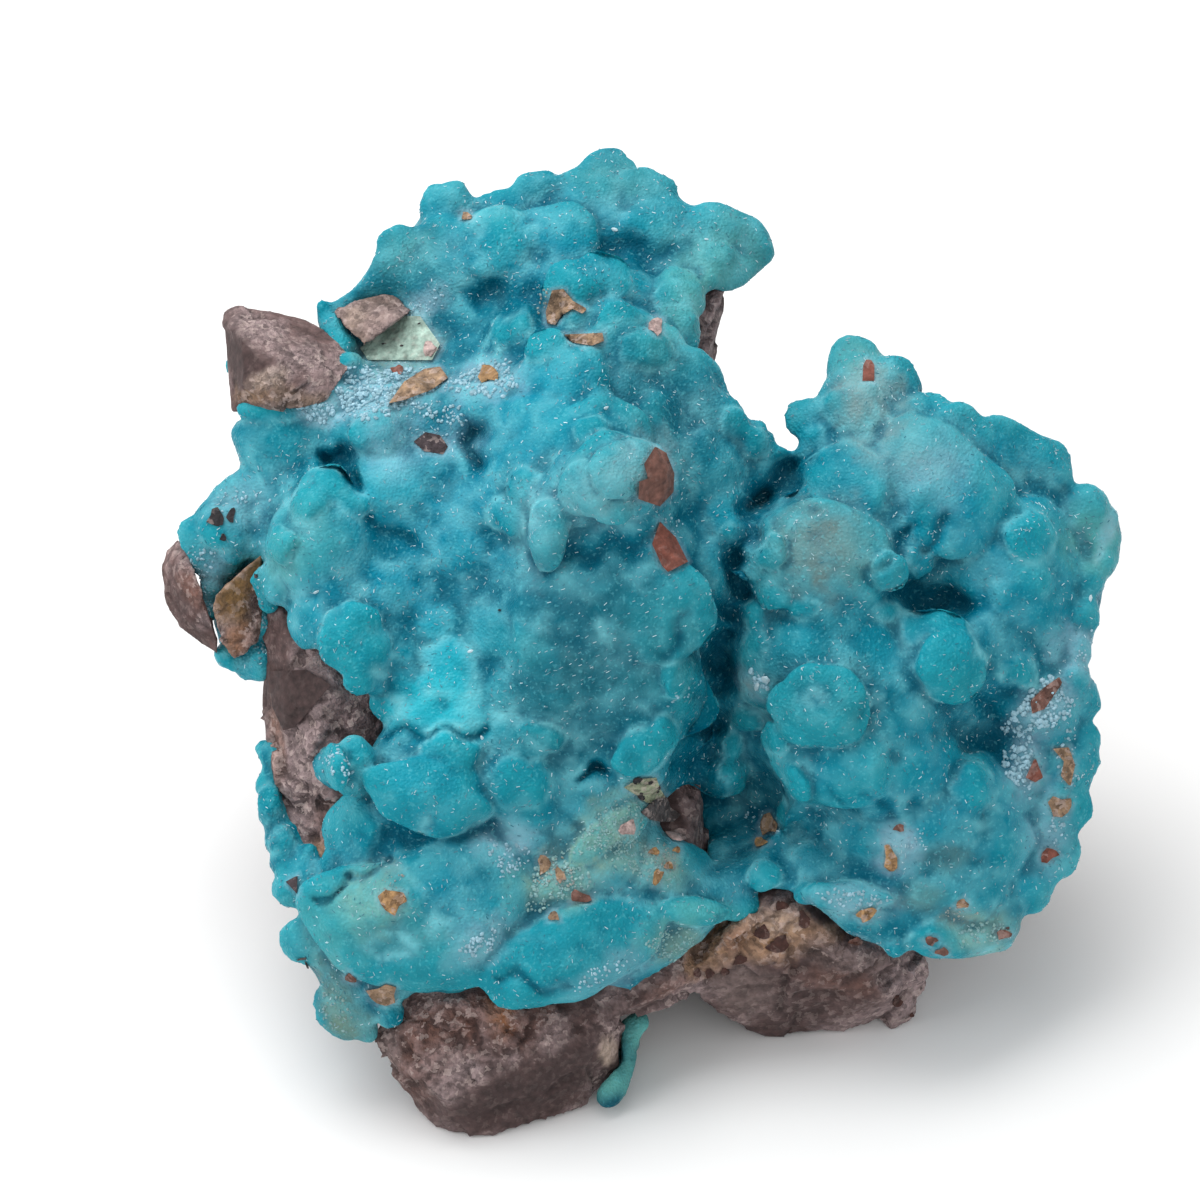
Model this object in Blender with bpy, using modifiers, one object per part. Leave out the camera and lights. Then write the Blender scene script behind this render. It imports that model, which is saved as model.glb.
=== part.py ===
"""Smithsonite specimen: a blue-green crust of rounded lumps grown over brown matrix rock.

The specimen rests on three feet of bare rock. Its front leans back and is covered by the crust,
which also holds four fragments of the broken host rock. A small patch of the same crust sits on
the side of the left foot.

Most places are given on a slanted layout plane that faces the front of the specimen, in
millimetres: u to the right, v up the slant and w out of it, with sizes as they appear from
SIGHT millimetres away. place() turns them into positions in metres, +Z up.
"""

import math

import bmesh
import bpy
import numpy as np
from mathutils import Matrix, Vector
from mathutils.bvhtree import BVHTree

# Layout plane: its slant, the distance it is seen from, and where it stands over the floor.
MM = 0.001
LEAN = math.radians(42.0)
SIGHT = 550.0
RISE = 53.2
MIDDLE = (5.85, 9.65)

# Gap between pieces that touch in the real specimen.
GAP = 0.3

# Crust: thickness of its sheet, how deep the lumps sit in it, and how finely it is faceted.
CRUST_DEPTH = 11.0
SKIN_DROP = 1.6
LUMP_SINK = 0.55
LEDGE_SINK = 0.5
SHEET_STEP = 2.5
SHEET_INSET = 2.2
RELIEF_REACH = 3.4
RELIEF_FLOOR = 1e-7
CRUST_VOXEL = 1.0
CRUST_TRIANGLES = 5000
PATCH_VOXEL = 0.7
PATCH_TRIANGLES = 260

# Rounding of the crust's edge: small lumps in layers that step back towards the rock.
RIM_STEP = 3.0
RIM_LAYERS = 4
LOW_RIM_LAYERS = 2
LOW_RIM = -36.0
RIM_RADIUS = (2.4, 3.4)
RIM_INSET = 0.95
RIM_CLEAR = 0.8
RIM_DROP = 1.0
LAYER_INSET = 0.5
LAYER_DROP = 3.4
RIM_SPREAD = (0.2, 0.8)
RIM_WANDER = 0.8
RIM_PROBE = 0.1
RIM_SEED = 5

# Scars where flakes broke off the far side of the rock: count, the arc they span round the rock in
# half turns from +X, heights, and half sizes.
FAR_SCARS = 22
FAR_ARC = 1.2
FAR_ARC_START = -0.1
FAR_ARC_JITTER = 0.4
FAR_HEIGHTS = (9.0, 68.0)
FAR_LENGTHS = (6.0, 13.0)
FAR_WIDTHS = (4.0, 9.0)
FAR_DEPTHS = (1.5, 3.4)
SCAR_ROUGHNESS = 0.24
SCAR_SEED = 11
REACH = 150.0

# Colour and roughness of each material.
CRUST_FINISH = ((0.02, 0.28, 0.36), 0.35)
ROCK_FINISH = ((0.10, 0.06, 0.055), 0.75)
FRAGMENT_FINISH = ((0.13, 0.08, 0.07), 0.75)

# Broad surface of the crust: u, v, w.
RELIEF = [
    (-28, 42, -15), (-22, 48, -16), (-15, 49, -16), (-8, 51, -16), (1, 55, -17), (7, 51, -16),
    (14, 47, -15), (20, 44, -15), (-24, 41, -10), (-16, 42, -9), (-8, 44, -9), (0, 46, -9), (7, 44, -10),
    (13, 41, -9), (-18, 37, -12), (-12, 37, -8), (-5, 39, -4), (2, 39, -5), (6, 39, -7), (10, 37, -8),
    (10, 32, -3), (-16, 33, -11), (-8, 33, -2), (-2, 35, -2), (3, 32, 0), (-12, 29, 0), (-6, 29, 3),
    (0, 29, 4), (6, 29, 3), (12, 27, -1), (16, 22, -2), (20, 19, -4), (23, 15, -7), (-12, 24, 3),
    (-6, 24, 5), (0, 23, 7), (6, 23, 4), (11, 22, 3), (15, 18, 1), (-14, 18, 4), (-8, 18, 8), (-2, 18, 12),
    (4, 17, 16), (10, 17, 7), (14, 14, 3), (-13, 11, 6), (-7, 10, 12), (-1, 12, 13), (4, 11, 14),
    (8, 8, 14), (9, 4, 12), (13, 9, 5), (17, 9, 3), (18, 4, 1), (20, 13, -8), (12, 12, 1), (-6, 4, 9),
    (0, 5, 10), (5, 2, 12), (-10, 0, 8), (-3, -1, 10), (4, -3, 11), (11, -1, 9), (15, 2, 4), (17, -2, 0),
    (-9, -7, 8), (-2, -8, 10), (5, -9, 9), (11, -8, 7), (-10, -14, 7), (-3, -15, 7), (3, -14, 7),
    (-6, -20, 6), (0, -20, 4), (5, -19, 7), (8, -22, 6), (10, -15, 4), (-19, 12, 2), (-24, 15, 2),
    (-28, 20, 0), (-30, 11, 4), (-24, 6, 2), (-17, 4, 2), (-12, 6, 4), (-26, -2, 3), (-20, -3, 1),
    (-15, -4, 3), (-19, -9, 2), (-15, -11, 4), (-22, -13, 4), (-18, -16, 6), (-13, -16, 6), (-25, -9, 3),
    (-34, 14, 4), (-37, 8, 4), (-40, 3, 1), (-35, 3, 4), (-33, -2, 6), (-30, -7, 7), (-37, -4, 2),
    (-34, 19, -6), (-40, 20, -4), (-45, 20, -7), (-42, 14, -6), (-48, 9, -9), (-45, 7, -7), (-47, 3.5, -9),
    (-43, -3, -11), (-45, -8, -11), (-50, 1, -13), (-47, -2, -13), (-32, 25, -4), (-26, 24, -2),
    (-20, 24, -1), (-15, 26, -1), (-28, 28, -6), (-20, 31, -7), (-14, 30, -3), (-24, 34, -9),
    (-20, 36, -12), (-33, 36, -13), (-35, 34, -12), (-28, 38, -9), (-17, 20, 0), (-22, 20, -1),
    (-20, -19, 6), (-17, -22, 6), (-23, -24, 8), (-27, -29, 4), (-13, -21, 6), (-10, -24, 6), (-10, -29, 3),
    (-3, -24, 4), (-5, -30, 4), (-20, -31, 5), (-18, -37, 7), (-25, -42, 7), (-31, -38, 5), (-34, -34, 2),
    (-38, -38, -2), (-36, -44, 0), (-33, -50, -1), (-29, -48, 3), (-24, -49, 1), (-19, -48, 0),
    (-30, -54, -3), (-15, -42, 5), (-10, -41, 3), (-5, -45, 5), (0, -42, 4), (4, -47, 1), (7, -43, 1),
    (-7, -35, 4), (0, -33, 4), (6, -31, 2), (3, -37, 3), (10, -34, 1), (12, -38, 3), (10, -42, 0),
    (8, -47, -2), (-38, -29, -5), (-41, -25, -7), (-40, -31, -6), (11, -28, -12), (15, -28, -18),
    (19, -24, -16), (13, -20, -8), (19, -18, -8), (16, -13, -12), (15, -7, -10), (20, -1, -4),
    (14, -33, -6), (18, -35, -1), (24, -31, -9), (29, -30, -6), (23, -26, -8), (18, -31, -8), (31, 32, -10),
    (29, 28, -7), (27, 24, -6), (34, 28, -5), (39, 27, -10), (33, 23, -1), (38, 22, -4), (26, 19, -4),
    (30, 17, 1), (35, 17, 0), (23, 12, 2), (19, 6, 4), (23, 6, 7), (28, 9, 6), (28, 4, 8), (21, 1, 5),
    (33, 6, 4), (36, 4, 6), (40, 5, 2), (41, 17, 2), (45, 12, 3), (41, 9, 1), (47, 20, -4), (53, 19, -6),
    (57, 16, -9), (50, 13, -2), (56, 10, -4), (61, 10, -9), (65, 8, -12), (49, 5, 1), (55, 4, -1),
    (61, 2, -8), (42, 1, -9), (36, -1, 0), (30, -1, 5), (25, -3, 6), (20, -5, 6), (18, -8, 5), (19, -11, 5),
    (26, -7, 7), (32, -6, 6), (38, -6, 5), (43, -6, 6), (48, -6, 3), (54, -3, 0), (60, -5, -6),
    (28, -13, 10), (34, -13, 7), (39, -13, 3), (44, -11, 6), (49, -11, 0), (24, -18, 6), (30, -20, 8),
    (36, -19, 5), (41, -20, 3), (47, -17, -8), (28, -24, 4), (34, -25, 5), (40, -26, 2), (47, -24, 0),
    (53, -14, 0), (58, -11, -3), (61, -17, -8), (57, -20, -4), (53, -22, -2), (57, -26, -6), (51, -28, -1),
    (45, -31, 2), (38, -31, 2), (31, -34, 0), (35, -36, 2), (28, -37, 3), (23, -37, 2), (33, -40, 2),
    (40, -38, 1), (46, -38, 0), (52, -38, -4), (43, -43, -2), (50, -43, -5), (36, -43, 0), (56, -33, -7),
]

# Lumps of the crust: u, v, radius, and how far the lump stands off the broad surface.
LUMPS = [
    (-28.2, 40, 2.6, 0), (-26.6, 42.6, 3, 0), (-25.3, 43.4, 3.1, 0), (-20, 48.9, 3.3, 0),
    (-19.6, 45, 3.2, 0), (-16, 47.6, 3.2, 0), (-12.8, 47.6, 3.1, 0), (-8.4, 51.6, 2.1, 0),
    (-5.6, 50.5, 3, 0), (-2.2, 50.2, 3, 0), (-0.2, 54.5, 2.6, 0), (1.8, 54.3, 2.9, 0), (4.9, 50.4, 3.5, 1),
    (8.2, 47, 3, 0), (12, 45.4, 3, 0), (14.4, 46.1, 3.4, 0.5), (17.3, 45.4, 3.3, 0), (18.8, 44.2, 3, 0),
    (18.3, 41.6, 1.6, 0), (-22.3, 43.6, 3.2, 0), (-24, 39.8, 2.6, 0), (-20.4, 40.6, 3.4, 0),
    (-14.6, 43.4, 3.6, 1), (-11, 43.4, 2.8, 0), (-17, 39.2, 3, 0), (-11.6, 39.8, 2.6, 0),
    (-7.4, 46.4, 3.2, 1), (-4.2, 45.6, 2.7, 1), (-6.8, 42, 2.6, 0), (-3.6, 39.4, 3.2, 1.5),
    (-0.6, 40.4, 3.2, 1.5), (1, 47.5, 2.6, -0.5), (4.4, 45.2, 3.2, -1), (7.4, 43.4, 3, -1),
    (3.4, 42, 2.8, -1), (11.4, 42.8, 2.7, 0.5), (14.4, 42.2, 2.6, 1), (10.4, 37.6, 3.1, 1),
    (9.9, 34.6, 2.6, 0.5), (13.6, 40, 1.4, 0.5), (5.8, 38, 2.2, 0), (3, 37.4, 2.4, 0.5),
    (3.4, 34.8, 2.6, 0.5), (6.6, 34.3, 1.5, 0), (-12.6, 36, 2.8, 0.5), (-9.6, 35.4, 3, 1),
    (-13.4, 33.4, 2, 0), (-6.4, 36.2, 1.7, 0), (-3.2, 34.9, 1.7, 1.5), (-0.6, 36.2, 2, 0.5),
    (-16.4, 34.6, 2.2, -1), (-22, 38.2, 2.4, 0), (-20.4, 36, 2.2, 0), (-18.8, 33.8, 2, 0.5),
    (-17.2, 31.6, 1.8, 0.5), (-8.8, 32.2, 2.4, 0), (-5.6, 30.8, 3.1, 0.5), (-9.4, 28.6, 2.8, 0),
    (-3.4, 27, 3.2, 1), (-7.6, 26.6, 2.8, 0.5), (2.6, 31.2, 3.2, 0.5), (0, 28.6, 2.8, 0.5),
    (6.6, 30.6, 2.8, 0.5), (9, 31, 2.2, 0), (3.6, 26.8, 2.8, 0), (7.6, 27.4, 2.8, 0),
    (10.8, 27.8, 2.6, 0.5), (13.2, 26, 3, 0.5), (10.2, 24.2, 2.6, 0), (6.6, 23.6, 2.4, -1),
    (13.4, 22.6, 2.8, 0.5), (16.8, 22, 2.4, 0), (18.8, 20.2, 2.2, 0.5), (20, 18.4, 1.8, 0),
    (9.8, 20.8, 2.6, 0), (12, 18.4, 3, 0.5), (15.4, 18.8, 2.8, 0), (17.6, 17.2, 2.6, 0.5),
    (10.8, 15.6, 2.6, 1), (13.8, 14.8, 2.2, 1), (16.2, 13.6, 2.2, 0), (21.6, 15.6, 2.3, 0.5),
    (23, 14, 1.9, 0), (21.6, 12.8, 1.8, -0.5), (-12.8, 25.4, 2.4, 0), (-14.6, 22.2, 2.6, 0),
    (-11, 21.6, 2.8, 0.5), (-8.2, 21.8, 2.4, 0.5), (-5, 22.8, 2.8, 0), (-1.6, 23.4, 2.2, 0),
    (1.8, 24, 1.8, -0.5), (-0.2, 20.2, 3.1, 1), (-4.4, 19, 2.6, 0), (3.2, 21, 1.9, 0), (-8.6, 17.4, 3, 0),
    (-12.4, 17.6, 2.8, 0), (-12.4, 13.6, 2.6, 0.5), (-14, 10.6, 2.4, 0), (2.6, 16.8, 3.2, 2),
    (5.2, 18.4, 2.6, 2), (2.4, 13.4, 3.4, 1.5), (6.6, 15.8, 3.1, 1.5), (-4.6, 15.4, 2.6, 1),
    (-2.2, 13.8, 2.4, 2), (-6.9, 13.2, 2.6, 1.5), (-6.9, 10.6, 3, 2), (-6.8, 7.8, 3, 2),
    (-10.8, 10.6, 2.2, 0), (5.2, 11.2, 1.9, 1.5), (7.6, 11.4, 1.9, 1.5), (6.2, 8.6, 1.7, 1.5), (7, 6, 2, 1),
    (9.4, 4.6, 2.4, 1), (8, 3.4, 1.7, 1), (11.2, 7, 1.4, 1), (12, 5, 0.9, 1.5), (10.2, 10.8, 1.7, 1),
    (0.8, 9.2, 2.2, -1), (-2.8, 8.6, 2, -1), (16.6, 10.2, 2.8, 1), (17.6, 8, 2.4, 1), (14.2, 7.6, 2.4, 0),
    (17.4, 12, 1.9, 1), (-4.4, 4.6, 3, 0), (0.4, 5.2, 3, 0), (3.4, 3.4, 3.2, 0), (-8.6, 2.8, 2.8, 0),
    (-12.2, 3, 2.4, 0), (6, 0.4, 3, 0), (10.6, 0.2, 2.8, 0), (13.8, 2.6, 2.2, 0), (-2, 0.8, 3.2, 0),
    (2, -1.8, 3, 0), (-6.4, -1.4, 3, 0), (-11.6, -1.2, 2.4, 0.5), (-10, -5, 3, 0), (-4.6, -5.6, 3.4, 0),
    (0.4, -6.2, 3.4, 0), (5, -5.6, 3.2, 0), (9.2, -5, 3, 0), (13, -3.2, 2.6, 0), (15.6, -1.4, 2, 0),
    (10, -9.2, 3, 0.5), (6, -10.4, 2.8, 0), (1.6, -11, 3.2, 0), (-3.6, -11.4, 3.2, 0), (-8.6, -10.8, 3, 0),
    (-12.4, -8.8, 2.8, 0), (-7.6, -15.8, 3.2, 0.5), (-2.8, -16, 3, 0), (1.8, -15.4, 2.8, 0),
    (-11.4, -14.6, 2.4, 0), (-1.4, -18.6, 2.2, 0), (5.2, -13.8, 2.4, 0), (4.6, -19.6, 2.8, 1),
    (7.4, -18.4, 3, 1.5), (6.6, -21.8, 2.8, 1.5), (8.6, -16.2, 2.3, 1), (10, -14.6, 2, 0),
    (10, -17.2, 1.7, 0.5), (3.4, -22.2, 1.9, 0), (-0.2, -22.6, 2.2, 0), (-3.6, -22.8, 2.6, 0),
    (-16.8, 12.4, 2.8, 0), (-20.6, 9, 3.4, 0), (-24.8, 16.4, 3.3, 0.5), (-28.2, 20.2, 3.3, 0.5),
    (-28.6, 16.6, 2.2, 0), (-25, 12.6, 2.4, 0), (-29, 12, 2.2, -1), (-31, 9, 2.6, 0), (-27.2, 7, 2.2, 0),
    (-31.4, 4.8, 2.6, 0), (-27.6, 2, 2.4, 0), (-23.2, 3.6, 2.8, 0), (-18.8, 3.8, 2.6, 0),
    (-15.6, 7.4, 2.6, 0), (-16.6, -0.4, 2.8, 0), (-21, -0.8, 2.4, 0), (-25.4, -2.6, 2.6, 0.5),
    (-19, -5.2, 3.2, 0), (-15.2, -4.4, 2.6, 0), (-23, -6.6, 2.6, 0), (-22.4, -10.8, 3, 0.5),
    (-18.2, -9.4, 3, 0), (-14.6, -11.4, 2.6, 0), (-21.6, -14.4, 2.4, 0.5), (-17.8, -14.2, 2.8, 0.5),
    (-14.4, -15.2, 2.4, 0), (-24.6, -14.6, 2.2, 0), (-26.2, -8.8, 2.2, 0), (-34.6, 14.4, 3.6, 0.5),
    (-37.4, 13.4, 2.2, 0), (-31.8, 14.2, 2.4, 0), (-36, 9, 3.6, 0.5), (-39, 8.2, 2.8, 0),
    (-40.4, 5, 2.2, 0), (-40.6, 2.4, 2.2, 0), (-38, 3.8, 2.8, 0), (-35, 4.6, 2.4, 0), (-33, 0.4, 2.6, 0),
    (-36.2, 0, 2, -0.5), (-30.8, -4.4, 4.2, 0.5), (-29.4, -8.2, 3.8, 0.5), (-28.6, -10.2, 1.9, 0),
    (-37, -3.8, 2.5, 0.5), (-34.4, -4.4, 2.2, 0.5), (-39.6, 0.6, 1.6, 0), (-33.9, -20.8, 2.7, 2),
    (-32, -19.8, 1.9, 1), (-43.8, 20.8, 3.7, 0), (-43.6, 18.4, 3, 0), (-40.6, 20.8, 3.2, 0.5),
    (-36.8, 21.4, 2.4, 0), (-33.6, 21.6, 2, -0.5), (-40.2, 17.2, 2, -1), (-42.4, 14.4, 1.9, 0),
    (-41.4, 11.8, 1.9, 0), (-48, 9.2, 4.1, 0.5), (-44.8, 9.6, 3, 0), (-44.4, 12, 1.8, 0),
    (-44.6, 6.6, 2.6, -0.5), (-47.2, 5.2, 2.6, -0.5), (-48.2, 2.6, 1.8, -0.5), (-48.8, 0.2, 1.4, -0.5),
    (-46.4, -6.9, 1.9, 0), (-44, -8.2, 2, 0), (-43.2, -5.2, 2.2, 0), (-42.6, -2.4, 2, 0),
    (-42.4, -8.6, 1.8, 0), (-50.4, 4.6, 1.6, 0), (-32.2, 26.4, 2.2, 0.5), (-31.6, 23.6, 1.6, 0.5),
    (-35.2, 23.6, 1.6, 1), (-28.2, 24.2, 1.8, 0.5), (-25.6, 24.2, 1.7, 0.5), (-22, 24.6, 1.9, 0.5),
    (-28.4, 27.4, 1.8, 0), (-18.2, 27.2, 1.9, 0.5), (-15, 26.6, 1.9, 0.5), (-12.4, 28, 1.9, 0.5),
    (-18, 23.8, 2.4, 0), (-24.8, 20.8, 2.4, 0), (-20.6, 22, 2, 0), (-17.4, 19, 2, 0),
    (-20.8, 16.8, 2.4, 0.5), (-15, 30.6, 1.7, 0.5), (-34.6, 36.6, 1.3, 0), (-34.2, 35, 1.4, 0),
    (-33.2, 37.6, 1.2, 0), (-31.4, 38.3, 1.1, 0), (-29.4, 38.7, 1.1, 0), (-28, 38.3, 0.9, 0),
    (-45.9, 29.2, 1.3, -3), (-22.6, -24.4, 6.4, 0), (-19.6, -18.4, 3.3, 0.5), (-17.4, -26.2, 2.2, 0),
    (-23.2, -18.8, 2, 0), (-26.4, -18, 2, 0), (-27.8, -19.8, 1.8, -0.5), (-11, -21.8, 3.2, 0),
    (-14, -18.4, 2, 0), (-8, -23.4, 2.6, 0), (-10.6, -27.4, 2.6, -0.5), (-6.4, -27.4, 2.6, 0),
    (-13.4, -25.6, 2, -0.5), (-11, -31, 2.4, -0.5), (-14.8, -29.6, 2.2, -0.5), (-3.4, -27.4, 2.6, 0.5),
    (-20.4, -30.6, 2.4, 0), (-24.4, -30.6, 2.2, 0), (-28.6, -29.4, 2.6, 0), (-30.6, -31.6, 2.2, 0),
    (-33, -33, 2.4, 0), (-36.4, -32, 1.8, 0), (-17.4, -34.6, 3.6, 0.5), (-19.6, -39, 3.6, 0.5),
    (-14.6, -37, 2.6, 0), (-24.2, -42.4, 3.4, 0), (-20.6, -43.2, 3, 0), (-28.4, -43, 3.2, 0),
    (-30.6, -40.2, 2.8, 0), (-29.4, -36.6, 3.4, 1), (-27, -34.8, 2, 1), (-25.6, -44.4, 2.6, 0),
    (-34.2, -36.8, 1.9, 0), (-37, -35.4, 2, 0), (-38.7, -36.3, 1.3, 0), (-35.6, -40.6, 2.6, 0),
    (-36.8, -43.2, 2.3, 0), (-33.6, -44.6, 2.4, 0), (-31, -48, 2.4, 0), (-33.6, -48.6, 2.2, 0),
    (-33, -51.2, 2.2, 0), (-31.6, -53.4, 2.2, 0), (-28.2, -51.4, 2.4, 0), (-27.6, -47.6, 2, 0),
    (-24.4, -48.8, 2.2, 0), (-26, -51.8, 1.8, 0), (-29, -54, 1.4, 0), (-20.4, -47.8, 2, 0),
    (-17.2, -46.6, 1.8, 0), (-15.4, -42.6, 2.4, 0.5), (-13.4, -41.2, 1.9, 0.5), (-11.2, -39.6, 1.9, 0.5),
    (-10.2, -38.4, 1.6, 0.5), (-10.8, -43.6, 2.2, 0), (-10.2, -47, 2.6, 0), (-6.4, -46.4, 3, 0.5),
    (-5.6, -41.6, 2.4, 0), (-2.4, -45, 3.2, 0.5), (-1.6, -40.8, 2.6, 0), (1, -42.6, 2.8, 0),
    (3, -39.6, 2.6, 0), (1.2, -46.6, 2, 0), (4, -43.6, 2, 0), (3.4, -48.6, 1.9, 0), (6, -46.6, 2, 0),
    (8.6, -44.8, 2, 0), (10.6, -43, 2, 0), (7.6, -41.6, 2, 0), (11.4, -40.8, 1.8, 0), (5, -49.2, 1.2, 0),
    (-8.6, -34, 1.9, 0), (-5.8, -36.4, 2, 0), (-3.8, -33.6, 2, 0), (-1, -31.8, 2.2, 0),
    (1.8, -30.4, 2.2, 0), (4.6, -29.6, 1.6, 0), (2.6, -33, 2.2, 0), (6, -31.6, 2, 0), (8.6, -31.4, 1.9, 0),
    (-0.2, -28, 1.9, 0), (2.4, -27, 1.6, 0), (-2.4, -37, 2, 0), (10.6, -33.4, 2.2, 0),
    (12.4, -34.8, 1.9, 0), (8.8, -35.4, 2.2, 0), (5.2, -36.4, 2, 0), (7.4, -28.4, 1.5, 1),
    (-38.4, -29.6, 1.8, 0), (-40.4, -27.4, 1.7, 0), (-41, -24.6, 1.6, 0), (-39.2, -32, 1.7, 0),
    (-42, -18.6, 1.2, -1), (14.4, -22.7, 3.5, 4), (16, -18.2, 1.9, 6), (14, -17, 1.6, 4),
    (23.8, -27, 2.2, 5), (21.2, -29.4, 1.9, 4), (20.6, -34.4, 3.2, 1), (16.6, -34.6, 2.2, 0.5),
    (20.2, -24, 1.9, 1), (23.4, -33.4, 2.2, 1), (13.4, -12.6, 2.2, 0), (20.4, -18.6, 2.4, 0),
    (12.6, -30.4, 2.2, 0), (16.4, -29.6, 2.4, 0), (27.2, -31.4, 2.4, 0), (29.6, -28.4, 2.4, 0),
    (26.4, -33.8, 2, 0), (31.8, 30.6, 2.4, 0), (30, 28.8, 1.9, 0), (33.6, 29, 2.6, 0), (36.4, 27.6, 2.6, 0),
    (38.2, 26, 2.2, 0), (29.6, 25.6, 2.2, 0), (27.8, 23.2, 1.9, 0), (31, 22.6, 2.8, 0.5), (34, 24.4, 3, 1),
    (35.6, 21.4, 2.8, 0.5), (38.6, 22.8, 2.6, 0), (41.4, 21.2, 2.6, 0), (44.4, 20.4, 2.8, 0),
    (27.2, 20, 2.2, 0), (25.6, 17.6, 1.9, 0), (49.4, 19.4, 2.7, 0), (53.4, 18, 2.7, 0),
    (55.8, 16.4, 2.8, 0), (29, 16.6, 2.8, 0.5), (32.6, 16.6, 3.2, 1), (30.8, 13.6, 2.8, 0.5),
    (26.4, 13.8, 2.2, 0), (41.6, 17.6, 3.4, 1), (38, 18.6, 2.4, 0), (42.6, 13.6, 3.6, 1),
    (38.4, 14.4, 2.4, 0), (46.2, 16.4, 2.6, 0), (44.4, 9.6, 3.4, 1), (41.6, 9.4, 2.2, 0),
    (36.6, 11.4, 2.4, 0), (33.6, 12, 2.2, 0), (49.6, 14.8, 2.4, -0.5), (51.8, 12, 2.2, -0.5),
    (55.4, 12.8, 2.6, 0), (59.4, 11, 2.4, 0), (62.8, 10, 2.6, 0), (64.2, 7.6, 2.5, 0), (63.2, 4.6, 1.9, 0),
    (60.6, 6.6, 2.4, 0), (57.2, 7.2, 2.8, 0), (52.6, 7.2, 3.2, 0.5), (48.6, 9.2, 2.2, 0),
    (48.6, 3.6, 3.6, 0.5), (53.6, 2.6, 2.8, 0), (57.8, 2.6, 2.8, 0), (61.4, 0.6, 2.4, 0),
    (51.8, -1.2, 2.8, 0), (56, -2.6, 2.8, 0), (59.6, -4.6, 2.2, 0), (60, -9.2, 2, 0), (24.2, 9.8, 2.4, 0.5),
    (21, 8.4, 2.2, 0), (19, 5.6, 2.2, 0.5), (21.6, 6.2, 1.9, 1.5), (20.4, 2.8, 2.2, 0), (20.6, 0.6, 1.9, 0),
    (24.4, 5.2, 2.6, 0.5), (27.6, 8.4, 2.8, 0.5), (31, 9.4, 2.4, 0), (28, 4.2, 2.8, 0.5),
    (31.6, 5.4, 2.4, 0), (24, 1.2, 2.4, 0), (28.6, 1.2, 2.2, 0.5), (36.6, 6.4, 1.9, 1),
    (36.2, 3.4, 2.3, 1.5), (39.4, 4.4, 2.3, 1), (35.6, -0.8, 2.4, 0.5), (32.2, -2, 2.4, 0),
    (28, -2.6, 2.6, 0), (22.6, -2.4, 2.2, 0), (17.8, -4.9, 2.4, 0.5), (18.4, -7.6, 2.9, 0.5),
    (22, -7, 2.2, 0), (18.2, -11.6, 2.3, 0.5), (21.6, -12, 2.2, 0), (25.4, -6.4, 2.6, 0),
    (29.6, -7.2, 2.4, 0), (33.4, -6.4, 2.4, 0), (27.4, -12.4, 4, 0.5), (32, -12, 3.6, 0),
    (25, -15.6, 2.2, 0), (30.4, -15.6, 2.4, 0), (36.2, -10.4, 2.8, 0), (36.2, -15.4, 3.2, 0),
    (40.6, -4.8, 3, 0), (39.6, -7.2, 2.6, 0), (43.2, -7.6, 4, 0.5), (46.2, -6.6, 3.2, 0.5),
    (42, -11, 2.8, 0), (46, -11, 2.6, 0.5), (47.8, -3, 2.2, 0), (50.6, -6.8, 2.6, 0), (55, -7, 2.2, 0),
    (27.8, -20.4, 4.2, 0), (24.6, -20.2, 2.2, 0), (32.4, -19.6, 3, 0), (34.6, -24.6, 3.4, 0.5),
    (30.2, -24.4, 2.4, 0), (40, -15.6, 2.2, 0), (40.4, -20.4, 3.2, 0), (38.2, -24.4, 2.4, 0),
    (43.6, -24, 2.8, 0), (47.8, -24.2, 3.4, 0.5), (42.4, -28, 2.6, 0), (46.6, -30, 3, 0),
    (51.4, -25.4, 2.2, 0), (50.6, -31.4, 2.4, 0), (33.6, -29.2, 2, 0), (50.4, -13, 2.2, 0.5),
    (52.6, -15.2, 2.4, 1), (55.4, -15.6, 2.2, 1), (57.8, -12.4, 1.9, 1), (55.6, -10.2, 1.7, 0.5),
    (59.6, -14, 1.9, 0), (59.6, -18.4, 1.9, 0), (57.6, -17.2, 1.7, 0.5), (59.2, -21, 1.5, 0),
    (53, -19.2, 1.9, 0.5), (55.6, -20.6, 1.9, 0.5), (52.2, -22, 1.7, 0.5), (54.2, -24.4, 1.7, 0),
    (56.4, -29, 1.7, 0), (54, -29.4, 1.9, 0), (55.4, -34.6, 1.5, 0), (37.2, -31.6, 2.6, 0),
    (41.4, -33, 2.6, 0), (45.6, -34.6, 2.6, 0), (49.6, -36.4, 2.6, 0), (51.8, -38.6, 2.2, 0),
    (51.2, -41.8, 2.4, 0), (48.4, -42.2, 2.4, 0), (44.6, -42.4, 2.4, 0), (41.4, -42.4, 2.2, 0),
    (40.8, -37.6, 2.6, 0), (36.6, -36.6, 2.4, 0), (32.6, -37.4, 2.6, 0), (29, -37, 2.3, 0.5),
    (25.8, -36.8, 1.6, 0), (22.4, -36, 1.6, 0), (31.6, -40.8, 2.2, 0), (35.6, -40.8, 2.4, 0),
    (38.6, -40.4, 2.2, 0), (34, -42, 1.7, 0), (37, -43.4, 1.5, -0.5), (46, -38.8, 2.4, 0),
    (52.4, -34.2, 1.9, 0), (31.6, -33, 2.2, 0),
]

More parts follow.
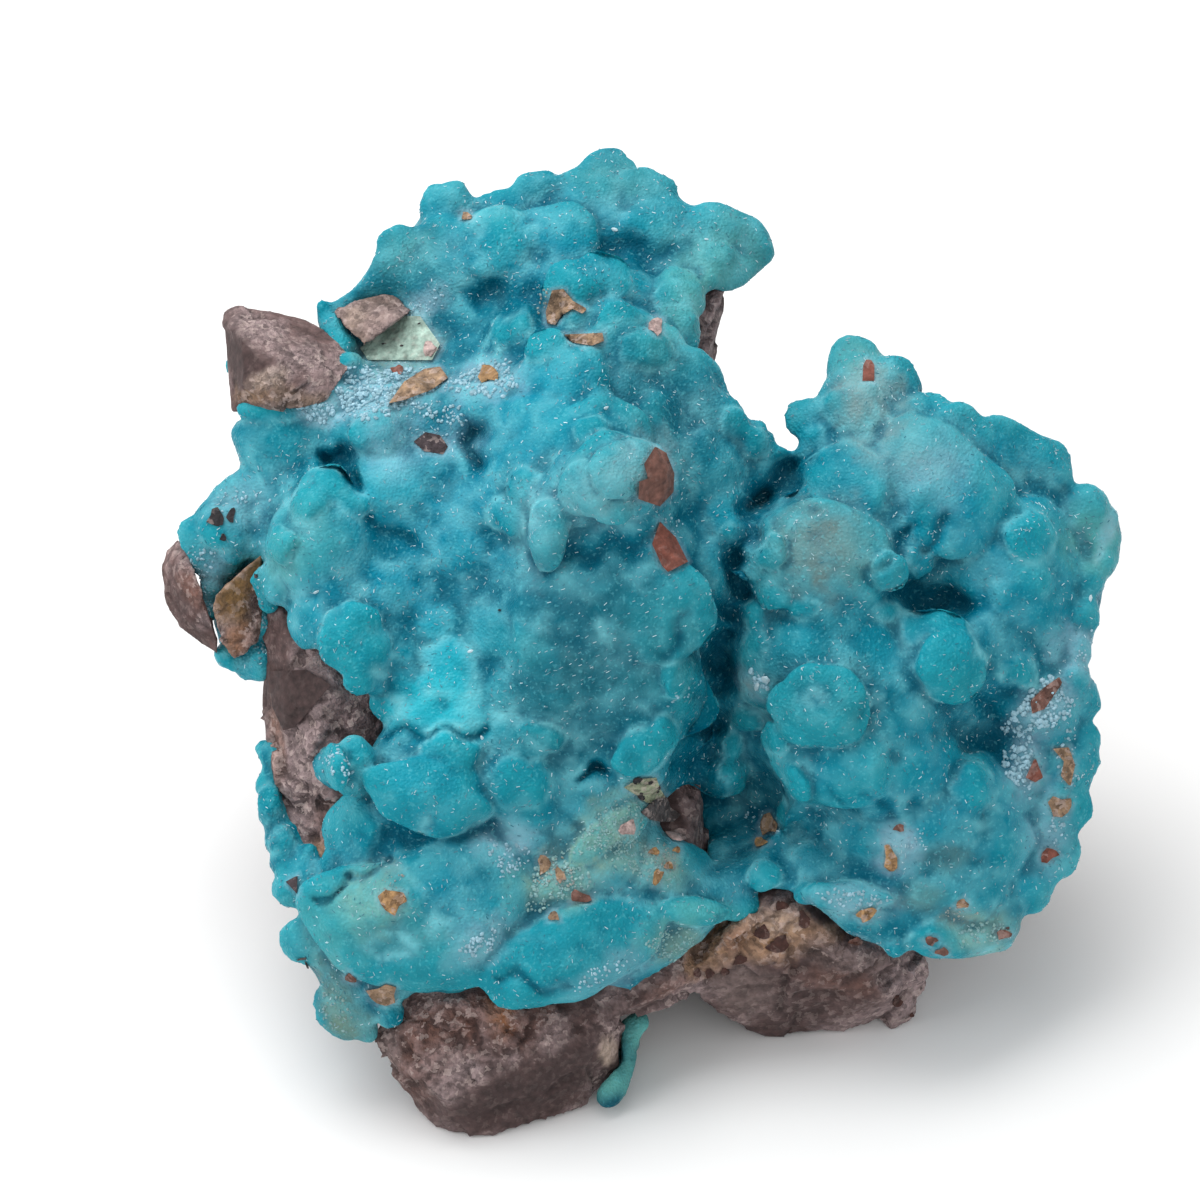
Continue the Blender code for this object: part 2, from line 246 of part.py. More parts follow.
# Flat ledges of the crust: u, v, stand-off, half length, half width, half thickness, turn.
LEDGES = [
    (-26, -42.6, 1, 7.4, 3.2, 2.6, -8), (-19, -40, 0.5, 6, 5, 2.6, 40), (-4, -45.6, 0.5, 8.6, 3.4, 2.6, 18),
    (11.8, -38.9, 1, 5, 1.7, 1.6, -4), (-20, -15, 1, 5.6, 1.6, 2, -3), (30.6, -37.2, 1, 5.2, 1.7, 1.6, -4),
    (45, -42.8, 0, 8, 2.4, 2.4, 2), (0, -3, 0.5, 13, 5, 2.4, -12), (-2, -12, 0.5, 12, 4, 2.4, -20),
]

# Outline of the area that the crust covers.
CRUST_FIELD = [
    (-30, 39.5), (-28, 43), (-25, 46.4), (-22.8, 46.5), (-21.5, 51.5), (-18.5, 52.2), (-12.5, 50.7),
    (-10, 53.3), (-3, 53.1), (0.5, 57.1), (3.8, 54.5), (8, 51), (8.2, 49.5), (11.3, 48), (14.5, 49.5),
    (20.5, 46.8), (21.5, 44), (19.2, 40.3), (15.5, 40), (12.5, 37.5), (11, 32), (11.8, 29.5), (14.5, 28.3),
    (16.5, 25.2), (21, 20.8), (21.5, 18.2), (23.7, 17.1), (24.8, 19.5), (26.2, 23.5), (28.2, 26.3),
    (28.1, 29), (30, 32.7), (32.5, 32.9), (38.8, 28.7), (42.7, 23.5), (51, 21.2), (57, 18.8), (59.8, 13),
    (65.6, 10.6), (66.9, 6.9), (65.6, 3.1), (63.8, 1.9), (64, 0), (62, -6), (61.9, -12), (60.8, -15.3),
    (61.5, -17.3), (60.9, -20.8), (56, -24), (55.5, -28), (57.5, -30.5), (56.3, -35.9), (53.9, -36.6),
    (53.3, -42.4), (51.3, -44.6), (43, -45.3), (38, -43.7), (33, -44.2), (30.5, -43), (28, -40.5),
    (25.5, -38.3), (22, -37.6), (19, -38.8), (16, -40.5), (12, -45), (10, -47.3), (5, -50.5), (1.5, -49.7),
    (-2, -49.7), (-9.5, -50.7), (-12.8, -48), (-19, -50), (-25, -53.9), (-28.5, -54.8), (-31.9, -55.7),
    (-34.1, -53.9), (-36, -47.5), (-38.4, -46), (-38.8, -41), (-37.1, -38.6), (-40.5, -36.4),
    (-38.9, -33.8), (-40.1, -31), (-41.6, -27.4), (-38.5, -29), (-35.5, -33.7), (-33.5, -31), (-30, -26),
    (-29.5, -22), (-30, -17.5), (-26.9, -13.5), (-27, -11.5), (-30, -11.9), (-33.5, -10), (-35.5, -7),
    (-39, -5), (-40.5, -1.5), (-42.3, -10.8), (-45.6, -9), (-47.6, -7), (-49.6, -4.5), (-51, 1), (-52.3, 5),
    (-52.1, 9), (-50.5, 12.8), (-44.6, 13.5), (-45.5, 17), (-47.4, 20.5), (-46, 23.3), (-42, 24.9),
    (-37.2, 23.5), (-33.6, 25), (-31.3, 31), (-33, 33), (-35.2, 34.6), (-35.6, 36.5), (-33.5, 38.2),
]

# Lumps of the small crust patch on the side of the left foot: u, v, w and radius.
PATCH_LUMPS = [
    (4.8, -52.8, -9, 1.5), (3.6, -53.8, -9, 1.7), (3.0, -55.4, -8.6, 1.8), (2.7, -57.2, -8.4, 1.9),
    (2.4, -58.9, -7.6, 1.8), (2.0, -60.4, -7, 1.8), (1.1, -61.8, -6.4, 1.7), (3.2, -55.2, -11.4, 1.9),
    (2.2, -58.6, -9.6, 1.7),
]

# Pits and flake scars on the rock in front: u, v, half length, half width, depth and turn.
NEAR_SCARS = [
    (20.3, -41.6, 1, 0.9, 0.9, 0), (22.3, -43, 1.6, 1, 1, 20), (25.3, -40.4, 1.3, 0.8, 0.9, 80),
    (17.5, -45, 1, 0.7, 0.7, 0), (27.6, -44.4, 3, 1.3, 0.9, -20), (19, -49, 4, 1.8, 0.9, 15),
    (27, -49.6, 4.4, 2, 1, -10), (37.6, -50.2, 1.1, 0.8, 0.8, 0), (36, -46.8, 2.4, 1.2, 0.9, 30),
    (-24, -56.4, 3, 1.5, 1.1, -35), (-17.6, -54.8, 3.4, 1.3, 1, 10), (-9.6, -53.8, 3.4, 1.4, 1, -15),
    (-2.6, -53.4, 2.2, 1.1, 0.8, -30), (-20.6, -60, 2.8, 1.7, 1.1, 40), (-14, -58.4, 3.8, 1.2, 0.9, -10),
    (-12, -63.6, 5, 1.3, 0.8, 12), (-4.6, -60.4, 3.6, 1.2, 0.8, 25), (-37.6, -7.6, 2, 1.2, 0.9, 60),
    (-38.6, -17.6, 2.6, 1.5, 1.1, 70), (-34.2, -14.4, 3.2, 1.3, 1.1, -30),
    (-38.6, -24.2, 2.8, 1.5, 1.1, 80), (-34.8, -25.8, 2.4, 1.3, 1, 50), (-31.6, -17, 2.4, 1.1, 0.9, -45),
    (-36.2, -30, 1.8, 1.1, 0.9, 60), (12.2, 33.6, 1.3, 0.8, 1, 80), (14.4, 36.6, 1.1, 0.8, 0.8, 40),
]


def place(u, v, w):
    """Position in metres of a point of the layout plane."""
    spread = (SIGHT - w) / SIGHT
    x = u * spread
    y = v * spread * math.sin(LEAN) - w * math.cos(LEAN)
    z = v * spread * math.cos(LEAN) + w * math.sin(LEAN) + RISE
    return Vector((x - MIDDLE[0], y - MIDDLE[1], z)) * MM


def on_floor(u, v):
    """Position of the point of the floor that lies behind u, v on the layout plane."""
    a = v * math.cos(LEAN)
    w = -(a + RISE) / (math.sin(LEAN) - a / SIGHT)
    return place(u, v, w)


def hidden(x, y, z):
    """Position of a point on the far side, in millimetres from the foot of the layout plane."""
    return Vector((x - MIDDLE[0], y - MIDDLE[1], z)) * MM


RELIEF_POINTS = np.array(RELIEF, dtype=float)


def relief(u, v):
    """Height of the broad surface at u, v: a smooth mean of the points near it."""
    away = (RELIEF_POINTS[:, 0] - u) ** 2 + (RELIEF_POINTS[:, 1] - v) ** 2
    weight = np.exp(-away / (2 * RELIEF_REACH ** 2)) + RELIEF_FLOOR / (1 + away)
    return float((weight * RELIEF_POINTS[:, 2]).sum() / weight.sum())


def inside(u, v, outline):
    """Whether u, v lies inside a closed outline."""
    within = False
    for (u0, v0), (u1, v1) in zip(outline, outline[1:] + outline[:1]):
        if (v0 > v) != (v1 > v) and u < u0 + (v - v0) * (u1 - u0) / (v1 - v0):
            within = not within
    return within


def edge_distance(u, v, outline):
    """Distance from u, v to a closed outline."""
    nearest = 1e9
    for (u0, v0), (u1, v1) in zip(outline, outline[1:] + outline[:1]):
        du, dv = u1 - u0, v1 - v0
        share = ((u - u0) * du + (v - v0) * dv) / (du * du + dv * dv)
        share = min(1.0, max(0.0, share))
        nearest = min(nearest, math.hypot(u0 + share * du - u, v0 + share * dv - v))
    return nearest


def rim_lumps(outline):
    """Lumps that round the crust over its edge: u, v, w and radius."""
    rng = np.random.default_rng(RIM_SEED)
    for (u0, v0), (u1, v1) in zip(outline, outline[1:] + outline[:1]):
        length = math.hypot(u1 - u0, v1 - v0)
        inward = Vector((v0 - v1, u1 - u0)) / length
        middle = Vector((u0 + u1, v0 + v1)) / 2
        if not inside(*(middle + inward * RIM_PROBE), outline):
            inward = -inward
        count = max(1, round(length / RIM_STEP))
        layers = RIM_LAYERS if v0 > LOW_RIM else LOW_RIM_LAYERS
        for i in range(count):
            for layer in range(layers):
                share = (i + rng.uniform(*RIM_SPREAD)) / count
                radius = rng.uniform(*RIM_RADIUS)
                inset = radius * RIM_INSET + layer * LAYER_INSET + rng.uniform(0, RIM_WANDER)
                u = u0 + share * (u1 - u0) + inward.x * inset
                v = v0 + share * (v1 - v0) + inward.y * inset
                if inside(u, v, outline) and edge_distance(u, v, outline) > radius * RIM_CLEAR:
                    yield u, v, relief(u, v) - radius - RIM_DROP - layer * LAYER_DROP, radius


def clear_scene():
    for obj in list(bpy.data.objects):
        bpy.data.objects.remove(obj, do_unlink=True)


def new_collection(name):
    collection = bpy.data.collections.new(name)
    bpy.context.scene.collection.children.link(collection)
    return collection


def new_material(name, colour, roughness):
    material = bpy.data.materials.new(name)
    material.use_nodes = True
    shader = material.node_tree.nodes["Principled BSDF"]
    shader.inputs["Base Color"].default_value = (*colour, 1.0)
    shader.inputs["Roughness"].default_value = roughness
    shader.inputs["Metallic"].default_value = 0.0
    return material


def object_from_bmesh(bm, name, collection, material=None):
    mesh = bpy.data.meshes.new(name)
    bm.to_mesh(mesh)
    bm.free()
    obj = bpy.data.objects.new(name, mesh)
    collection.objects.link(obj)
    if material:
        mesh.materials.append(material)
    return obj


def add_hull(bm, points, margin):
    """Adds the closed hull of some points, grown by a margin in millimetres."""
    corners = [Vector((0, 0, 0))]
    if margin:
        corners = [Vector((i, j, k)) * margin * MM for i in (-1, 1) for j in (-1, 1) for k in (-1, 1)]
    made = [bm.verts.new(point + corner) for point in points for corner in corners]
    result = bmesh.ops.convex_hull(bm, input=made)
    loose = set(result["geom_interior"] + result["geom_unused"])
    loose = [item for item in loose if isinstance(item, bmesh.types.BMVert)]
    bmesh.ops.delete(bm, geom=loose, context="VERTS")


def hull_object(name, points, margin, collection, material=None):
    bm = bmesh.new()
    add_hull(bm, points, margin)
    bmesh.ops.recalc_face_normals(bm, faces=bm.faces)
    return object_from_bmesh(bm, name, collection, material)


def boolean(obj, other, operation):
    modifier = obj.modifiers.new(operation.lower(), "BOOLEAN")
    modifier.operation = operation
    modifier.solver = "EXACT"
    modifier.object = other


def keep_main_body(obj):
    """Removes crumbs that a cut leaves beside the main body."""
    bm = bmesh.new()
    bm.from_mesh(obj.data)
    left = set(bm.verts)
    bodies = []
    while left:
        todo = [left.pop()]
        body = set(todo)
        while todo:
            for edge in todo.pop().link_edges:
                for vert in edge.verts:
                    if vert in left:
                        left.remove(vert)
                        body.add(vert)
                        todo.append(vert)
        bodies.append(body)
    bodies.sort(key=len)
    for body in bodies[:-1]:
        bmesh.ops.delete(bm, geom=list(body), context="VERTS")
    bm.to_mesh(obj.data)
    bm.free()


def bake(obj):
    """Replaces an object's mesh by the mesh that its modifiers make."""
    graph = bpy.context.evaluated_depsgraph_get()
    mesh = bpy.data.meshes.new_from_object(obj.evaluated_get(graph))
    obj.modifiers.clear()
    obj.data = mesh


def seen(*points):
    return [place(*point) for point in points]


def floor(*points):
    return [on_floor(*point) for point in points]


def far(*points):
    return [hidden(*point) for point in points]


# The matrix: lumps of host rock that run into each other, each a hull of its corner points.
MATRIX_LUMPS = {
    "left_foot": seen(
        (-28.4, -55, -2), (-24.4, -53.5, 0), (-18.6, -50.5, 1), (-11, -50.6, 0.5), (-4, -51.5, 0),
        (0.8, -51, -2), (2.6, -54.8, -6), (2.6, -58.6, -8), (-14, -60, 1.5), (-19, -62.5, 0.5),
        (-25.9, -58.3, -5), (-24.8, -61, -6), (-22.8, -63.8, -7), (0.4, -56, -2),
    ) + floor(
        (-20.5, -65.9), (-18.6, -67), (-15.6, -67.1), (-11.5, -66.2), (-5.8, -64.9), (-1.8, -63.4),
        (-22, -60), (0, -58),
    ) + far((-24, -15, 25), (2, -12, 25), (-20, -14, 6), (0, -12, 8)),
    "right_foot": seen(
        (12.3, -46, -5), (15, -43, -4), (19, -39.4, -3), (22, -38, -3), (25.5, -39, -3),
        (28, -41.2, -4), (31, -43.6, -5), (35.5, -44.4, -8), (38.5, -44, -11), (41, -45.2, -13),
        (41.4, -47, -14), (22.3, -46.8, -6.5), (35, -46.5, -8.5), (12.2, -49, -8), (34.8, -49.3, -10),
        (12.5, -49.6, -9), (15, -51.2, -12),
    ) + floor(
        (18.5, -53.6), (21, -54.8), (25, -54.5), (30, -53.3), (36.5, -53), (39, -52.4), (38, -46), (20, -47),
    ) + far((15, 4, 22), (38, 8, 24), (18, -2, 8)),
    "rim": seen(
        (0.6, -49.8, -2), (4, -51.2, -2), (7, -49.2, -2), (11, -47.2, -3), (13, -48.8, -8),
        (9, -49.6, -5), (5, -52, -5), (1.5, -53.2, -5),
    ) + far((-4, -16, 19), (14, -12, 20), (0, -8, 34), (12, -6, 34)),
    "left_wall": seen(
        (-40.2, -1, -6), (-41.4, -3.6, -8), (-41.8, -10, -8.5), (-42, -16.6, -9), (-41.4, -21.8, -8),
        (-40.6, -25.9, -7), (-38.5, -30, -6), (-35, -33.5, -3), (-33, -30, -2), (-29.5, -25, -1),
        (-27, -14, -1), (-27, -11, -2), (-33.5, -10.2, 0.5), (-40, -8.8, -6), (-39, -5, -3),
        (-38.8, -16.2, -3.5), (-36, -20, -1), (-28, -32, -5), (-31, -36, -6), (-41, 2, -12), (-42.4, -5, -13),
    ) + far((-37, 24, 50), (-38, 28, 35), (-34, 22, 18), (-28, 24, 60)),
    "middle": seen(
        (-28, 22, -10), (-14, 26, -8), (2, 24, -4), (12, 24, -10), (16, 16, -12), (15, 4, -10),
        (10, -8, -4), (6, -22, -4), (-6, -24, -4), (-20, -26, -1), (-28, -20, -3), (-32, -4, -3),
        (-34, 8, -5), (-22, -46, -6), (0, -46, -4),
    ) + far((-34, 25, 20), (10, 30, 15), (14, 42, 55), (-25, 42, 60), (-20, 40, 22), (8, 38, 30)),
    "upper": seen(
        (-24, 40, -20), (-18, 46, -21), (-6, 49, -22), (4, 50, -22), (14, 44, -20), (16, 39.6, -13),
        (14.4, 36.5, -11), (13.4, 33, -10.5), (12.3, 29.8, -10), (-22, 30, -12),
    ) + far((-22, 48, 50), (10, 52, 58), (12, 42, 30), (-18, 44, 28), (0, 55, 68)),
    "upper_tip": seen(
        (15.8, 40.3, -15), (17, 41.5, -14), (19.2, 40.6, -15), (18.9, 39.5, -16), (18, 38.7, -16),
        (16.6, 39.2, -16), (13, 43, -18), (12, 41, -24),
    ),
    "right": seen(
        (31, 27, -14), (28, 18, -11), (24, 8, -8), (23, -2, -6), (24, -18, -4), (32, -26, -5),
        (42, -38, -8), (50, -39, -11), (54, -32, -12), (57.5, -22, -12), (60, -6, -14), (62, 6, -16),
        (56, 14, -14), (42, 18, -12),
    ) + far((34, 28, 52), (56, 30, 40), (46, 12, 24), (54, 22, 28), (34, 20, 24)),
    "back_left": far(
        (-32, 6, 16), (-30, 40, 14), (8, 46, 12), (14, 20, 16), (15, 34, 38), (9, 42, 55),
        (5, 50, 62), (-20, 50, 62), (-34, 30, 62), (-38, 16, 44), (0, -6, 12), (14, 10, 40),
    ),
    "back_right": far(
        (10, 10, 16), (36, 14, 16), (12, 36, 14), (34, 32, 18), (38, 22, 42), (30, 28, 40),
        (14, 30, 38), (40, 10, 30), (20, 38, 28),
    ),
    "rear_foot": far(
        (-26, 2, 0), (8, -2, 0), (16, 26, 0), (-14, 38, 0), (-29, 22, 0), (-34, 22, 16), (22, 30, 18),
        (-10, 46, 16), (20, 4, 18), (-30, 0, 18),
    ),
}

# Fragments of the host rock that the crust holds.
FRAGMENTS = {
    "rock_block_upper_left": seen(
        (-47.2, 35, -10), (-46.7, 36.3, -11), (-45.3, 36.9, -11), (-41.5, 36.3, -12), (-37, 35.2, -12),
        (-33, 33, -10), (-31.3, 31, -7), (-31, 29, -5), (-33.4, 26, -3), (-34.4, 24.6, -3),
        (-37.5, 23.6, -2), (-42, 24.6, -3), (-46.1, 23.4, -8), (-46.3, 26.5, -9), (-45.4, 29, -10),
        (-45.9, 32, -10), (-45, 33, -4), (-42.3, 29.9, -1.5), (-44.6, 27.6, -3), (-44, 31, -24),
        (-34, 30, -24), (-38, 25, -20),
    ),
    "rock_chip_top": seen(
        (-33.3, 36, -11), (-30.5, 37.5, -12), (-27, 38.4, -13), (-25.7, 38.3, -13), (-23.2, 36.2, -11),
        (-25, 35.2, -8.5), (-27, 33.7, -8), (-29.5, 31.8, -7), (-32, 34, -8.5), (-30, 36, -18),
        (-26, 36, -18),
    ),
    "rock_fragment_left": seen(
        (-52.7, 7.8, -12), (-54.4, 6.4, -13), (-55, 4.1, -13), (-54.4, -0.4, -13), (-52.8, -3.3, -12),
        (-49.9, -5.5, -11), (-47.8, -6.8, -10), (-47.6, -5.4, -8), (-49.4, -1.6, -7), (-49.8, 1.5, -7),
        (-51.5, 3.5, -7.5), (-52.9, 4.4, -8.5), (-51.6, 6.6, -10), (-51, 4, -21), (-50, -3, -20),
    ),
    "rock_fragment_ochre": seen(
        (-42.2, 5.9, -6), (-45.1, 3.5, -5.5), (-48, 0.6, -5), (-48.8, -1.6, -6), (-47.6, -4.9, -7),
        (-45.8, -7.3, -8), (-44.1, -6.5, -8), (-42.6, -4, -7.5), (-42, -0.5, -7), (-41.9, 2.8, -6.5),
        (-44, 4, -18), (-45, -5, -18), (-43, 0, -19),
    ),
}


def make_matrix(name, margin, collection, material=None):
    """Joins the lumps of the matrix into one body."""
    parts = [hull_object(name + "_" + key, points, margin, collection)
             for key, points in MATRIX_LUMPS.items()]
    body = parts[0]
    for other in parts[1:]:
        boolean(body, other, "UNION")
    bake(body)
    for other in parts[1:]:
        bpy.data.objects.remove(other, do_unlink=True)
    body.name = name
    if material:
        body.data.materials.clear()
        body.data.materials.append(material)
    return body


def scar_object(name, spot, normal, half_size, turn, rng, collection):
    """A rough pebble, flattened along the surface it is sunk into."""
    bm = bmesh.new()
    bmesh.ops.create_icosphere(bm, subdivisions=1, radius=1.0)
    for vert in bm.verts:
        vert.co *= 1 + rng.uniform(-SCAR_ROUGHNESS, SCAR_ROUGHNESS)
    turned = normal.to_track_quat("Z", "Y").to_matrix().to_4x4() @ Matrix.Rotation(turn, 4, "Z")
    size = Matrix.Diagonal((*(Vector(half_size) * MM), 1.0))
    bm.transform(Matrix.Translation(spot) @ turned @ size)
    return object_from_bmesh(bm, name, collection)


def make_scars(rock, collection):
    """Cutters for the pits in front and for the flake scars on the far side."""
    rng = np.random.default_rng(SCAR_SEED)
    tree = BVHTree.FromObject(rock, bpy.context.evaluated_depsgraph_get())
    scars = []
    for i, (u, v, long, wide, deep, turn) in enumerate(NEAR_SCARS):
        start, end = place(u, v, CRUST_DEPTH), place(u, v, -REACH)
        spot, normal, _, _ = tree.ray_cast(start, end - start)
        if spot:
            half_size = (long, wide, deep)
            turn = math.radians(turn)
            scars.append(scar_object("near_scar_%02d" % i, spot, normal, half_size, turn, rng, collection))
    for i in range(FAR_SCARS):
        step = i + rng.uniform(-FAR_ARC_JITTER, FAR_ARC_JITTER)
        angle = math.pi * (step * FAR_ARC / FAR_SCARS + FAR_ARC_START)
        away = Vector((math.cos(angle), math.sin(angle), 0))
        start = away * REACH * MM + Vector((0, 0, rng.uniform(*FAR_HEIGHTS) * MM))
        half_size = (rng.uniform(*FAR_LENGTHS), rng.uniform(*FAR_WIDTHS), rng.uniform(*FAR_DEPTHS))
        turn = rng.uniform(0, math.pi)
        spot, normal, _, _ = tree.ray_cast(start, -away)
        if spot:
            scars.append(scar_object("far_scar_%02d" % i, spot, normal, half_size, turn, rng, collection))
    return scars


def sheet(bm, outline):
    """A thick sheet that follows the broad surface inside an outline."""
    lows = [min(corner[i] for corner in outline) for i in (0, 1)]
    highs = [max(corner[i] for corner in outline) for i in (0, 1)]
    steps = [int((high - low) / SHEET_STEP) for low, high in zip(lows, highs)]
    bmesh.ops.create_grid(bm, x_segments=steps[0], y_segments=steps[1], size=0.5)
    for vert in bm.verts:
        vert.co.x = lows[0] + (vert.co.x + 0.5) * steps[0] * SHEET_STEP
        vert.co.y = lows[1] + (vert.co.y + 0.5) * steps[1] * SHEET_STEP
    outside = [
        vert for vert in bm.verts
        if not inside(vert.co.x, vert.co.y, outline)
        or edge_distance(vert.co.x, vert.co.y, outline) < SHEET_INSET
    ]
    bmesh.ops.delete(bm, geom=outside, context="VERTS")
    front = list(bm.verts)
    extruded = bmesh.ops.extrude_face_region(bm, geom=list(bm.faces))
    back = [v for v in extruded["geom"] if isinstance(v, bmesh.types.BMVert)]
    for verts, drop in ((front, SKIN_DROP), (back, CRUST_DEPTH)):
        for vert in verts:
            vert.co = place(vert.co.x, vert.co.y, relief(vert.co.x, vert.co.y) - drop)
    bmesh.ops.recalc_face_normals(bm, faces=bm.faces)


def add_ball(bm, spot, radius):
    bmesh.ops.create_icosphere(bm, subdivisions=2, radius=radius * MM, matrix=Matrix.Translation(spot))


def grow_together(obj, voxel, triangles):
    """Merges the shapes of an object into one body and thins it to large facets."""
    remesh = obj.modifiers.new("grow together", "REMESH")
    remesh.mode = "VOXEL"
    remesh.voxel_size = voxel * MM
    bake(obj)
    thin = obj.modifiers.new("facets", "DECIMATE")
    thin.ratio = triangles / (2 * len(obj.data.polygons))
    bake(obj)


def make_crust(name, collection, material):
    """The crust: its sheet with every lump, ledge and rounded edge grown into it."""
    bm = bmesh.new()
    sheet(bm, CRUST_FIELD)
    for u, v, radius, lift in LUMPS:
        add_ball(bm, place(u, v, relief(u, v) + lift - LUMP_SINK * radius), radius)
    for u, v, w, radius in rim_lumps(CRUST_FIELD):
        add_ball(bm, place(u, v, w), radius)
    lean = Matrix.Rotation(math.pi / 2 - LEAN, 4, "X")
    for u, v, lift, long, wide, thick, turn in LEDGES:
        centre = place(u, v, relief(u, v) + lift - LEDGE_SINK * thick)
        turned = lean @ Matrix.Rotation(math.radians(turn), 4, "Z")
        matrix = Matrix.Translation(centre) @ turned @ Matrix.Diagonal((long, wide, thick, 1.0))
        bmesh.ops.create_icosphere(bm, subdivisions=2, radius=MM, matrix=matrix)
    crust = object_from_bmesh(bm, name, collection, material)
    grow_together(crust, CRUST_VOXEL, CRUST_TRIANGLES)
    return crust


def make_patch(name, collection, material):
    """The small patch of crust on the side of the left foot."""
    bm = bmesh.new()
    for u, v, w, radius in PATCH_LUMPS:
        add_ball(bm, place(u, v, w), radius)
    patch = object_from_bmesh(bm, name, collection, material)
    grow_together(patch, PATCH_VOXEL, PATCH_TRIANGLES)
    return patch


def cut(obj, cutters):
    """Cuts an object with each cutter and keeps its main body."""
    for cutter in cutters:
        boolean(obj, cutter, "DIFFERENCE")
    bake(obj)
    keep_main_body(obj)


def main():
    clear_scene()
    solids = new_collection("smithsonite_specimen")
    cutters = new_collection("cutters")
    teal = new_material("smithsonite", *CRUST_FINISH)
    brown = new_material("matrix", *ROCK_FINISH)
    grey = new_material("fragments", *FRAGMENT_FINISH)

    for name, points in FRAGMENTS.items():
        hull_object(name, points, 0.0, solids, grey)
    sockets = [hull_object(name + "_socket", points, GAP, cutters) for name, points in FRAGMENTS.items()]

    matrix = make_matrix("matrix_rock", 0.0, solids, brown)
    bed = make_matrix("matrix_bed", GAP, cutters)
    cut(matrix, sockets + make_scars(matrix, cutters))

    crust = make_crust("smithsonite_crust", solids, teal)
    cut(crust, [bed] + sockets)
    patch = make_patch("crust_patch_foot", solids, teal)
    cut(patch, [bed])

    for cutter in cutters.objects:
        cutter.hide_render = True
        cutter.display_type = "WIRE"


main()
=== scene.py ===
"""Smithsonite specimen: a blue-green botryoidal crust on brown host rock, lying on a pale table."""

import math

import bpy
import numpy as np
from mathutils import Matrix, Vector, noise
from mathutils.bvhtree import BVHTree


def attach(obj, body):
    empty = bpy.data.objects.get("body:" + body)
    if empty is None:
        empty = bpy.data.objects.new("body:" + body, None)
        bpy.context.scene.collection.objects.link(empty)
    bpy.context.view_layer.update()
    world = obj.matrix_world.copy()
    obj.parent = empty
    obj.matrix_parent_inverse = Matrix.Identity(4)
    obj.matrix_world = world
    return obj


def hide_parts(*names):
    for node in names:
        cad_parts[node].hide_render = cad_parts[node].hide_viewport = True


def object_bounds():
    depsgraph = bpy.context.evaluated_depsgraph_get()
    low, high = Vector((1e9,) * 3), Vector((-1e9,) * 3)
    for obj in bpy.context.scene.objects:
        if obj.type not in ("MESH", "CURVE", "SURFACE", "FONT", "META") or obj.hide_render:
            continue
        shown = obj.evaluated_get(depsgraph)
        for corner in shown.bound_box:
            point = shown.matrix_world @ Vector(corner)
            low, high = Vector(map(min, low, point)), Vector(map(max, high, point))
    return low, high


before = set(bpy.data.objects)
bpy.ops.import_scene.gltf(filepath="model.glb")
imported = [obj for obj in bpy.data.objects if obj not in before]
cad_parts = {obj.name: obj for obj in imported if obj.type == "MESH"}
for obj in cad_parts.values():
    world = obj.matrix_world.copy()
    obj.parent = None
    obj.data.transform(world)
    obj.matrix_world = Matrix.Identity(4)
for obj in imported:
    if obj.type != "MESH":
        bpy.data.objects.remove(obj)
cad_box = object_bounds()


# Camera and studio.
# The photograph looks down on the leaning display face from half a metre away, under a broad soft
# light from above with paper white all round.

MM = 0.001
LEAN = math.radians(42.0)
SIGHT = 550.0
RISE = 53.2
MIDDLE = (5.85, 9.65)
PHOTO_WIDTH = 150.0

target = Vector((-MIDDLE[0], -MIDDLE[1], RISE)) * MM
sight_line = Vector((0, -math.cos(LEAN), math.sin(LEAN)))
camera_data = bpy.data.cameras.new("photo_camera")
camera_data.sensor_width = 36.0
camera_data.lens = camera_data.sensor_width * SIGHT / PHOTO_WIDTH
camera_data.clip_start = 0.02
camera_data.clip_end = 20.0
camera = bpy.data.objects.new("photo_camera", camera_data)
camera.location = target + sight_line * SIGHT * MM
camera.rotation_euler = (math.pi / 2 - LEAN, 0, 0)
bpy.context.scene.collection.objects.link(camera)
bpy.context.scene.camera = camera
bpy.context.scene.view_settings.view_transform = "Standard"


def soft_light(name, place, aim, size, power, colour=(1, 1, 1)):
    """A square soft box that hangs at a place and faces an aim point, both in metres."""
    data = bpy.data.lights.new(name, "AREA")
    data.shape = "SQUARE"
    data.size = size
    data.energy = power
    data.color = colour
    light = bpy.data.objects.new(name, data)
    light.location = place
    light.rotation_euler = (Vector(aim) - Vector(place)).to_track_quat("-Z", "Y").to_euler()
    bpy.context.scene.collection.objects.link(light)
    return light


soft_light("overhead_box", (-0.18, 0.30, 0.85), (0, 0, 0.04), 0.7, 6.5, (1.0, 0.995, 0.985))
soft_light("left_box", (-0.75, -0.20, 0.55), (0, 0, 0.04), 0.5, 2.4, (0.97, 0.985, 1.0))
soft_light("camera_fill", (0.25, -0.85, 0.75), (0, 0, 0.04), 0.8, 1.2)

world = bpy.data.worlds.new("studio_white")
bpy.context.scene.world = world
world.use_nodes = True
world.node_tree.nodes["Background"].inputs["Color"].default_value = (1.0, 1.0, 1.0, 1.0)
world.node_tree.nodes["Background"].inputs["Strength"].default_value = 0.55

bpy.ops.object.select_all(action="DESELECT")
bpy.ops.mesh.primitive_plane_add(size=6.0, location=(0, 0, -0.0002))
table = bpy.context.object
table.name = "table_top"
paper = bpy.data.materials.new("white_paper")
paper.use_nodes = True
paper_shader = paper.node_tree.nodes["Principled BSDF"]
paper_shader.inputs["Base Color"].default_value = (0.93, 0.93, 0.93, 1)
paper_shader.inputs["Roughness"].default_value = 0.9
paper_shader.inputs["Specular IOR Level"].default_value = 0.1
table.data.materials.append(paper)


